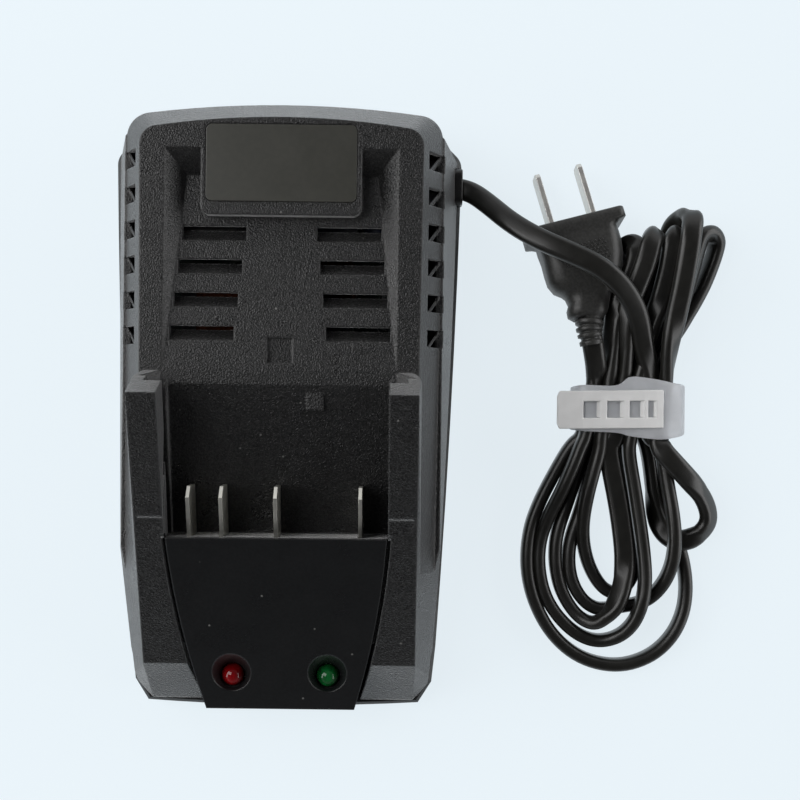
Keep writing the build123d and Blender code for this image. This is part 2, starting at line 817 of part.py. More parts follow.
# --- Lower shell ---------------------------------------------------------------------------
with BuildPart() as lower_shell:
    with BuildSketch(Plane.XY.offset(foot_stand)):
        base_plan(0)
    extrude(amount=lower_height)
    outer_faces = faces().sort_by(Axis.Z)
    chamfer(outer_faces[-1].outer_wire().edges() + outer_faces[0].outer_wire().edges(), length=base_edge)
    with BuildSketch(Plane.XY.offset(foot_stand + wall)):
        base_plan(shell_step + wall)
    extrude(amount=lower_height, mode=Mode.SUBTRACT)
    for bottom_z, top_z, outset in (
        (joint_z - rim_foot, joint_z, shell_step + wall - seat_gap),
        (joint_z, joint_z + rim_height, shell_step + wall + rim_gap),
    ):
        with BuildSketch(Plane.XY.offset(bottom_z)):
            base_plan(outset)
            base_plan(shell_step + wall + rim_gap + rim_thick, mode=Mode.SUBTRACT)
            with Locations((0, (rim_rear_y + rim_front_y) / 2)):
                Rectangle(far, rim_rear_y - rim_front_y, mode=Mode.INTERSECT)
        extrude(amount=top_z - bottom_z)
    with BuildSketch(Plane.XY.offset(foot_stand)):
        with Locations(*screw_places):
            Circle(screw_post / 2)
    extrude(amount=lower_height)
    with BuildSketch(Plane.XY.offset(foot_stand)):
        with Locations(*board_screw_places):
            Circle(board_post / 2)
    extrude(amount=board_z - foot_stand)
    with BuildSketch(Plane.XY.offset(foot_stand)):
        with Locations((clamp_x, inlet_y)):
            Rectangle(clamp_width, 2 * clamp_half_length)
    extrude(amount=inlet_z - cord_thick / 2 - foot_stand)
    with BuildSketch(Plane.XY.offset(foot_stand)):
        with Locations(*foot_places):
            Circle(foot_diameter / 2 + wall)
    extrude(amount=wall + foot_recess)
    with BuildSketch(Plane.XY.offset(foot_stand)):
        with Locations(*foot_places):
            Circle(foot_diameter / 2)
    extrude(amount=foot_recess, mode=Mode.SUBTRACT)
    with BuildSketch(Plane.XY.offset(foot_stand)):
        with Locations(*screw_places):
            Circle(screw_head / 2 + seat_gap)
    extrude(amount=screw_seat_z - foot_stand, mode=Mode.SUBTRACT)
    with BuildSketch(Plane.XY.offset(foot_stand)):
        with Locations(*screw_places):
            Circle(screw_thread / 2)
    extrude(amount=far, mode=Mode.SUBTRACT)
    with BuildSketch(Plane.XY.offset(board_z)):
        with Locations(*board_screw_places):
            Circle(board_screw_thread / 2)
    extrude(amount=board_thick - board_screw_length, mode=Mode.SUBTRACT)
    with BuildSketch(Plane.XY.offset(inlet_z)):
        with Locations(*clamp_screw_places):
            Circle(board_screw_thread / 2)
    extrude(amount=-clamp_screw_length + clamp_height + cord_thick / 2, mode=Mode.SUBTRACT)
    with BuildSketch(Plane.XY.offset(foot_stand)):
        for side in (-1, 1):
            with Locations((side * base_vent_x, 0)):
                with GridLocations(0, base_vent_pitch, 1, base_vent_count):
                    Rectangle(base_vent_length, base_vent_width)
    extrude(amount=2 * wall, mode=Mode.SUBTRACT)
    add(bushing_space(seat_gap), mode=Mode.SUBTRACT)
finish(lower_shell, "lower_shell")

# --- Front cover ---------------------------------------------------------------------------
with BuildPart() as front_cover:
    add(cover_form(0, cover_drop))
    add(nose_space(), mode=Mode.SUBTRACT)
    for side in (-1, 1):
        well_top = slope_z(lamp_y)
        with Locations((side * lamp_x, lamp_y, well_top)):
            Cylinder(
                well_diameter / 2 + well_wall, 2 * well_depth + well_wall,
                align=(Align.CENTER, Align.CENTER, Align.MAX),
            )
    add(cover_top_cut(), mode=Mode.SUBTRACT)
    for side in (-1, 1):
        well_top = slope_z(lamp_y)
        with Locations((side * lamp_x, lamp_y, well_top - well_depth)):
            Cylinder(well_diameter / 2, 4 * well_depth, mode=Mode.SUBTRACT)
            Cone(
                well_diameter / 2, well_mouth / 2 + (well_mouth - well_diameter) / 2, 2 * well_depth,
                align=(Align.CENTER, Align.CENTER, Align.MIN),
                mode=Mode.SUBTRACT,
            )
finish(front_cover, "front_cover")

# --- Label plate ---------------------------------------------------------------------------
with BuildPart() as label_plate:
    with BuildSketch(Plane.XY.offset(deck_z + label_proud - label_thickness)):
        with Locations((0, label_y)):
            RectangleRounded(label_width, label_depth, label_corner)
    extrude(amount=label_thickness)
finish(label_plate, "label_plate")

# --- Contact blades and their block --------------------------------------------------------
blade_front_y = bay_front_y - wall - blade_tail
for number, x in enumerate(blade_x, start=1):
    with BuildPart() as contact_blade:
        with BuildSketch(Plane.YZ.offset(x - blade_thick / 2)):
            rear_y = bay_front_y + blade_reach
            rear_foot_z = ramp_z(rear_y) + blade_lift
            Polygon(
                (bay_front_y, blade_foot_z),
                (rear_y, rear_foot_z),
                (rear_y, rear_foot_z + blade_height - blade_chamfer),
                (rear_y - blade_chamfer, rear_foot_z + blade_height),
                (bay_front_y, blade_foot_z + blade_height),
                (bay_front_y - wall, blade_foot_z + blade_height),
                (bay_front_y - wall, block_top),
                (blade_front_y, block_top),
                (blade_front_y, board_z - pin_stand),
                (blade_front_y + pin_width, board_z - pin_stand),
                (blade_front_y + pin_width, blade_foot_z),
                align=None,
            )
        extrude(amount=blade_thick)
    finish(contact_blade, f"contact_blade_{number}")

with BuildPart() as contact_block:
    block_rear_y = bay_front_y - wall - seat_gap
    with Locations(((blade_x[0] + blade_x[-1]) / 2, block_rear_y, board_top)):
        Box(
            blade_x[-1] - blade_x[0] + 2 * block_margin, block_depth, block_top - board_top,
            align=(Align.CENTER, Align.MAX, Align.MIN),
        )
    for x in blade_x:
        with Locations((x, block_rear_y, board_top)):
            Box(
                blade_thick, blade_tail + seat_gap, block_top,
                align=(Align.CENTER, Align.MAX, Align.MIN), mode=Mode.SUBTRACT,
            )
finish(contact_block, "contact_block")

# --- Circuit board -------------------------------------------------------------------------
with BuildPart() as circuit_board:
    with BuildSketch(Plane.XY.offset(board_z)):
        with BuildLine() as outline:
            for side in (-1, 1):
                Polyline(
                    (0, board_rear_y),
                    (side * board_half, board_rear_y),
                    (side * board_half, board_shoulder_y),
                    (side * board_front_half, board_shoulder_y),
                    (side * board_front_half, board_front_y),
                    (0, board_front_y),
                )
        make_face(outline.line)
        with Locations(*board_screw_places):
            Circle(board_screw_thread / 2, mode=Mode.SUBTRACT)
        with Locations(*[(x, blade_front_y + pin_width / 2) for x in blade_x]):
            Rectangle(blade_thick, pin_width, mode=Mode.SUBTRACT)
    extrude(amount=board_thick)
finish(circuit_board, "circuit_board")

# --- Lamps ---------------------------------------------------------------------------------
lamp_dome_top = slope_z(lamp_y) - lamp_sink
lamp_foot_z = lamp_dome_top - lamp_diameter / 2 - lamp_body
for side, colour in ((-1, "red"), (1, "green")):
    with BuildPart() as lamp:
        with BuildSketch(Plane.XZ.offset(-lamp_y)):
            with BuildLine() as outline:
                Polyline(
                    (0, lamp_dome_top), (0, lamp_foot_z), (lamp_diameter / 2 + lamp_rim, lamp_foot_z),
                    (lamp_diameter / 2 + lamp_rim, lamp_foot_z + lamp_rim_height),
                    (lamp_diameter / 2, lamp_foot_z + lamp_rim_height),
                    (lamp_diameter / 2, lamp_foot_z + lamp_body),
                )
                RadiusArc(
                    (lamp_diameter / 2, lamp_foot_z + lamp_body), (0, lamp_dome_top), -lamp_diameter / 2
                )
            make_face(outline.line)
        revolve(axis=Axis((0, lamp_y, 0), (0, 0, 1)))
    lamp.part = lamp.part.moved(Location((side * lamp_x, 0, 0)))
    finish(lamp, f"{colour}_lamp")

with BuildPart() as lamp_holders:
    with BuildSketch(Plane.XY.offset(board_top)):
        with Locations((-lamp_x, lamp_y), (lamp_x, lamp_y)):
            Circle(holder_diameter / 2)
    extrude(amount=lamp_foot_z - board_top)
finish(lamp_holders, "lamp_holders")

# --- Transformer ---------------------------------------------------------------------------
core_z = board_top + core_lift
leg_gap = core_leg / 2 + core_window
with BuildPart() as transformer_core:
    with BuildSketch(Plane.XY.offset(core_z)):
        with Locations(core_place):
            Rectangle(core_width, core_depth)
            with GridLocations(core_leg + core_window, 0, 2, 1):
                Rectangle(core_window, core_window_depth, mode=Mode.SUBTRACT)
    extrude(amount=core_height)
finish(transformer_core, "transformer_core")

with BuildPart() as transformer_winding:
    with BuildSketch(Plane.XY.offset(board_top)):
        with Locations(core_place):
            RectangleRounded(2 * leg_gap, core_window_depth, core_window / 3)
    extrude(amount=core_lift + core_height + winding_side)
    with Locations((core_place[0], core_place[1], core_z)):
        Box(
            core_leg, core_depth, core_height,
            align=(Align.CENTER, Align.CENTER, Align.MIN), mode=Mode.SUBTRACT,
        )
finish(transformer_winding, "transformer_winding")

# --- Other parts on the board --------------------------------------------------------------
with BuildPart() as bulk_capacitor:
    with Locations((bulk_place[0], bulk_place[1], place_z(bulk_diameter))):
        Cylinder(bulk_diameter / 2, bulk_length, rotation=(0, 90, 0))
finish(bulk_capacitor, "bulk_capacitor")

with BuildPart() as filter_capacitor:
    with Locations((filter_place[0], filter_place[1], board_top)):
        Box(*filter_size, align=(Align.CENTER, Align.CENTER, Align.MIN))
    fillet(edges().filter_by(Axis.Z), radius=filter_corner)
finish(filter_capacitor, "filter_capacitor")

with BuildPart() as mains_choke:
    add(wound_ring(choke_place, choke_diameter, choke_hole, choke_height))
finish(mains_choke, "mains_choke")

with BuildPart() as mains_fuse:
    with Locations((fuse_place[0], fuse_place[1], place_z(fuse_diameter + 2 * fuse_cap_proud))):
        Cylinder(fuse_diameter / 2, fuse_length, rotation=(90, 0, 0))
    for end in (-1, 1):
        cap_y = fuse_place[1] + end * (fuse_length - fuse_cap) / 2
        with Locations((fuse_place[0], cap_y, place_z(fuse_diameter + 2 * fuse_cap_proud))):
            Cylinder(fuse_diameter / 2 + fuse_cap_proud, fuse_cap, rotation=(90, 0, 0))
finish(mains_fuse, "mains_fuse")

with BuildPart() as bridge_rectifier:
    with Locations((bridge_place[0], bridge_place[1], board_top)):
        Box(*bridge_size, align=(Align.CENTER, Align.CENTER, Align.MIN))
finish(bridge_rectifier, "bridge_rectifier")

with BuildPart() as heat_sink:
    with BuildSketch(Plane.XY.offset(board_top)):
        with Locations((sink_place[0] + sink_plate / 2, sink_place[1])):
            Rectangle(sink_plate, sink_length)
        with Locations((sink_place[0] + sink_plate + sink_fin_run / 2, sink_place[1])):
            with GridLocations(0, sink_length / sink_fin_count, 1, sink_fin_count):
                Rectangle(sink_fin_run, sink_fin)
    extrude(amount=sink_height)
finish(heat_sink, "heat_sink")

with BuildPart() as power_transistors:
    for end in (-1, 1):
        with Locations((sink_place[0], sink_place[1] + end * transistor_offset, board_top)):
            Box(
                transistor_tab, transistor_width, transistor_height,
                align=(Align.MAX, Align.CENTER, Align.MIN),
            )
            Box(
                transistor_thick, transistor_width, transistor_body,
                align=(Align.MAX, Align.CENTER, Align.MIN),
            )
finish(power_transistors, "power_transistors")

with BuildPart() as output_capacitors:
    with BuildSketch(Plane.XY.offset(board_top)):
        with Locations(*output_places):
            Circle(output_diameter / 2)
    extrude(amount=output_height)
finish(output_capacitors, "output_capacitors")

with BuildPart() as output_coil:
    add(wound_ring(coil_place, coil_diameter, coil_hole, coil_height))
finish(output_coil, "output_coil")

with BuildPart() as controller_chip:
    with Locations((chip_place[0], chip_place[1], board_top)):
        Box(*chip_size, align=(Align.CENTER, Align.CENTER, Align.MIN))
finish(controller_chip, "controller_chip")

with BuildPart() as surge_absorber:
    with Locations((varistor_place[0], varistor_place[1], place_z(varistor_diameter))):
        Cylinder(varistor_diameter / 2, varistor_thick, rotation=(90, 0, 0))
finish(surge_absorber, "surge_absorber")

# --- Screws and feet -----------------------------------------------------------------------
with BuildPart() as housing_screws:
    with BuildSketch(Plane.XY.offset(screw_seat_z)):
        with Locations(*screw_places):
            Circle(screw_head / 2)
    extrude(amount=-screw_head_height)
    with BuildSketch(Plane.XY.offset(screw_seat_z)):
        with Locations(*screw_places):
            Circle(screw_thread / 2)
    extrude(amount=screw_length)
    with BuildSketch(Plane.XY.offset(screw_seat_z - screw_head_height)):
        with Locations(*screw_places):
            Rectangle(screw_cross_length, screw_cross)
            Rectangle(screw_cross, screw_cross_length)
    extrude(amount=screw_cross_depth, mode=Mode.SUBTRACT)
finish(housing_screws, "housing_screws")

with BuildPart() as board_screws:
    with BuildSketch(Plane.XY.offset(board_top)):
        with Locations(*board_screw_places):
            Circle(board_screw_head / 2)
    extrude(amount=board_screw_head_height)
    with BuildSketch(Plane.XY.offset(board_top)):
        with Locations(*board_screw_places):
            Circle(board_screw_thread / 2)
    extrude(amount=-board_screw_length)
finish(board_screws, "board_screws")

with BuildPart() as rubber_feet:
    with BuildSketch():
        with Locations(*foot_places):
            Circle(foot_diameter / 2)
    extrude(amount=foot_stand + foot_recess)
    chamfer(edges().group_by(Axis.Z)[0], length=foot_bevel)
finish(rubber_feet, "rubber_feet")

# --- Mains lead inside the housing ---------------------------------------------------------
route = [Vector(*point) for point in cord_route]
with BuildPart() as cord_bushing:
    add(bushing_space(0))
    with BuildSketch(Plane.YZ.offset(sheath_inner_x)):
        with Locations((inlet_y, inlet_z)):
            Rectangle(cord_width, cord_thick)
            fillet(vertices(), radius=cord_thick / 2 - seat_gap)
    extrude(amount=far, mode=Mode.SUBTRACT)
finish(cord_bushing, "cord_bushing")

with BuildPart() as lead_sheath:
    with BuildSketch(Plane.YZ.offset(sheath_inner_x)):
        with Locations((inlet_y, inlet_z)):
            Rectangle(cord_width, cord_thick)
            fillet(vertices(), radius=cord_thick / 2 - seat_gap)
    extrude(amount=bushing_face_x - sheath_inner_x + cord_width)
    split(bisect_by=Plane(origin=route[0], z_dir=route[1] - route[0]), keep=Keep.BOTTOM)
finish(lead_sheath, "lead_sheath")

with BuildPart() as cord_clamp:
    with BuildSketch(Plane.YZ.offset(clamp_x - clamp_width / 2)):
        with Locations((inlet_y, inlet_z - cord_thick / 2)):
            Rectangle(
                2 * clamp_half_length, cord_thick + clamp_height, align=(Align.CENTER, Align.MIN)
            )
        with Locations((inlet_y, inlet_z)):
            Rectangle(cord_width + 2 * seat_gap, cord_thick, mode=Mode.SUBTRACT)
    extrude(amount=clamp_width)
    with BuildSketch(Plane.XY.offset(inlet_z + cord_thick / 2 + clamp_height)):
        with Locations(*clamp_screw_places):
            Circle(board_screw_thread / 2)
    extrude(amount=-clamp_screw_length, mode=Mode.SUBTRACT)
finish(cord_clamp, "cord_clamp")

with BuildPart() as clamp_screws:
    with BuildSketch(Plane.XY.offset(inlet_z + cord_thick / 2 + clamp_height)):
        with Locations(*clamp_screw_places):
            Circle(board_screw_head / 2)
    extrude(amount=board_screw_head_height)
    with BuildSketch(Plane.XY.offset(inlet_z + cord_thick / 2 + clamp_height)):
        with Locations(*clamp_screw_places):
            Circle(board_screw_thread / 2)
    extrude(amount=-clamp_screw_length)
finish(clamp_screws, "clamp_screws")

for side, name in ((-1, "live_wire"), (1, "neutral_wire")):
    with BuildPart() as lead_wire:
        start_y = inlet_y + side * wire_spacing / 2
        end_x = board_screw_x - wire_spacing - (1 + side) * wire_spacing / 2
        with BuildLine() as path:
            Polyline(
                (sheath_inner_x, start_y, inlet_z),
                (end_x, start_y, inlet_z),
                (end_x, board_rear_y + wire_spacing, inlet_z + 2 * wire_spacing),
                (end_x, board_rear_y - wire_spacing, inlet_z + 2 * wire_spacing),
                (end_x, board_rear_y - wire_spacing, board_top),
            )
        with BuildSketch(Plane(origin=(sheath_inner_x, start_y, inlet_z), z_dir=(-1, 0, 0))):
            Circle(wire_diameter / 2)
        sweep(path=path.line, transition=Transition.RIGHT)
    finish(lead_wire, name)

# --- Mains lead outside the housing --------------------------------------------------------
radii = []
for before, corner, after in zip(route, route[1:], route[2:]):
    run = min((corner - before).length, (after - corner).length)
    turn = (corner - before).get_angle(after - corner)
    radii.append(0.45 * run / tan(radians(turn) / 2))
    print(f"cord bend radius {radii[-1]:.1f} mm, turn {turn:.1f} degrees, run {run:.1f} mm")

with BuildPart() as mains_cord:
    with BuildLine() as path:
        FilletPolyline(*route, radius=radii)
    with BuildSketch(Plane(origin=route[0], z_dir=route[1] - route[0])):
        Circle(cord_diameter / 2)
    sweep(path=path.line)
cord_length = sum(edge.length for edge in path.line.edges())
print(f"cord {cord_length:.1f} mm, volume {mains_cord.part.volume:.0f} against "
      f"{cord_length * pi * cord_diameter ** 2 / 4:.0f}")
finish(mains_cord, "mains_cord")

# --- Plug ----------------------------------------------------------------------------------
turn = radians(plug_turn)
pitch = radians(plug_pitch)
plug_forward = Vector(-sin(turn) * cos(pitch), cos(turn) * cos(pitch), -sin(pitch))
plug_side = Vector(cos(turn), sin(turn), 0)
plug_up = plug_side.cross(plug_forward)
plug_across = plug_side * cos(radians(plug_roll)) + plug_up * sin(radians(plug_roll))
plug_face = Plane(origin=plug_foot, x_dir=plug_across, z_dir=plug_forward)

with BuildPart() as plug_body:
    with BuildSketch(plug_face.offset(-flange_thick)):
        RectangleRounded(flange_width, flange_height, flange_corner)
    extrude(amount=flange_thick)
    with BuildSketch(plug_face.offset(-flange_thick)):
        RectangleRounded(grip_width, grip_height, grip_corner)
    with BuildSketch(plug_face.offset(-flange_thick - grip_length)):
        RectangleRounded(grip_end_width, grip_end_height, grip_corner)
    loft()
    with BuildSketch(plug_face.offset(-flange_thick - grip_length)):
        Circle(tail_radius)
    with BuildSketch(plug_face.offset(-flange_thick - grip_length - tail_length)):
        Circle(tail_end_radius)
    loft()
    for ring in range(tail_ring_count):
        back = flange_thick + grip_length + (ring + 1) * tail_length / (tail_ring_count + 1)
        with BuildSketch(plug_face.offset(-back - tail_ring_width / 2)):
            Circle(tail_radius + tail_ring_rise - ring * (tail_radius - tail_end_radius) / tail_ring_count)
        extrude(amount=tail_ring_width)
finish(plug_body, "plug_body")

with BuildPart() as plug_blades:
    for end in (-1, 1):
        blade_root = plug_face.from_local_coords((end * plug_blade_spacing / 2, 0, 0))
        with BuildSketch(Plane(origin=blade_root, x_dir=plug_face.y_dir, z_dir=plug_face.x_dir)):
            Polygon(
                (-plug_blade_width / 2, 0),
                (-plug_blade_width / 2, plug_blade_length - plug_blade_tip),
                (plug_blade_tip - plug_blade_width / 2, plug_blade_length),
                (plug_blade_width / 2 - plug_blade_tip, plug_blade_length),
                (plug_blade_width / 2, plug_blade_length - plug_blade_tip),
                (plug_blade_width / 2, 0),
                align=None,
            )
        extrude(amount=plug_blade_thick / 2, both=True)
finish(plug_blades, "plug_blades")

# --- Cord tie ------------------------------------------------------------------------------
tie_plane = Plane(
    origin=(tie_middle[0], tie_middle[1], 0),
    x_dir=(cos(radians(tie_turn)), -sin(radians(tie_turn)), 0),
    z_dir=(-sin(radians(tie_turn)), -cos(radians(tie_turn)), 0),
)
with BuildPart() as cord_tie:
    with BuildSketch(tie_plane.offset(-tie_length / 2)):
        with Locations((0, tie_top_z / 2)):
            RectangleRounded(2 * tie_half, tie_top_z, tie_corner)
            RectangleRounded(
                2 * (tie_half - tie_thick), tie_top_z - 2 * tie_thick, tie_corner - tie_thick,
                mode=Mode.SUBTRACT,
            )
        with Locations((-tie_half - tie_tail, tie_top_z - tie_thick)):
            Rectangle(tie_half + tie_tail, tie_thick, align=(Align.MIN, Align.MIN))
    extrude(amount=tie_length)
finish(cord_tie, "cord_tie")

# --- Hank of the mains lead ----------------------------------------------------------------
with BuildPart() as cord_hank:
    with BuildSketch():
        with BuildLine() as outline:
            Spline(*hank_outline, periodic=True)
        make_face(outline.line)
    extrude(amount=hank_height)
    chamfer(edges().group_by(Axis.Z)[-1], length=hank_edge)
    with BuildSketch(tie_plane.offset(-tie_length / 2 - seat_gap)):
        Rectangle(2 * tie_half, 2 * tie_thick + 2 * seat_gap)
    extrude(amount=tie_length + 2 * seat_gap, mode=Mode.SUBTRACT)
    add([mains_cord.part, plug_body.part], mode=Mode.SUBTRACT)
finish(cord_hank, "cord_hank")
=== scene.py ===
import itertools
import math

import bpy
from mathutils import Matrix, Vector


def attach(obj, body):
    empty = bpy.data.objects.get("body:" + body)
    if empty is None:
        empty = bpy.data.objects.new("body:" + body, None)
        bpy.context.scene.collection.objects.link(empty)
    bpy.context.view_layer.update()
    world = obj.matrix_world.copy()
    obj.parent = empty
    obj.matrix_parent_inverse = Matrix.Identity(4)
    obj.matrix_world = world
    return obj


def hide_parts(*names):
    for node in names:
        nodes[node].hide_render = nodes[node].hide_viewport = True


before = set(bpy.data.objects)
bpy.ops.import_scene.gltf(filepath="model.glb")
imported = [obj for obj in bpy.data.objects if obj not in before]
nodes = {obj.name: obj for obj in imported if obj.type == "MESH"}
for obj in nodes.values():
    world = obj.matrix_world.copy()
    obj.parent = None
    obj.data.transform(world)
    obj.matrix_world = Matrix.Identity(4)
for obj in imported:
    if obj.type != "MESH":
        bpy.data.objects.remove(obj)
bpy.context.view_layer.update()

# Sizes and places are in millimetres and angles in degrees, where nothing else is said.
MM = 0.001
SLIVER = 1e-6           # keeps a rounded corner just short of half a side
BODY = "root"

# --- View ----------------------------------------------------------------------------
CAMERA_PLACE = (33.3, 3.2, 430.0)
CAMERA_TURN = 0.7
CAMERA_LENS = 64.5
CAMERA_SENSOR = 36.0
CAMERA_CLIP = 0.01      # metres

# --- Lead ----------------------------------------------------------------------------
CORD_WIDTH = 6.2
CORD_THICK = 3.8
CORD_CORNER = 1.7
CORD_SIDES = 5          # points round each corner of the section
CORD_STEPS = 6          # samples between two points of the route
# The route from inside the housing, through the grommet and over the plug to the tie.
LEAD_ROUTE = (
    (44.0, 65.6, 9.0), (49.0, 65.6, 9.0), (53.6, 64.4, 9.8), (58.2, 60.6, 13.2), (64.6, 54.4, 18.8),
    (72.2, 49.4, 23.0), (81.0, 45.6, 24.4), (89.6, 41.8, 24.2), (96.6, 36.2, 22.0),
    (101.4, 29.2, 18.4), (103.6, 20.6, 13.8),
)
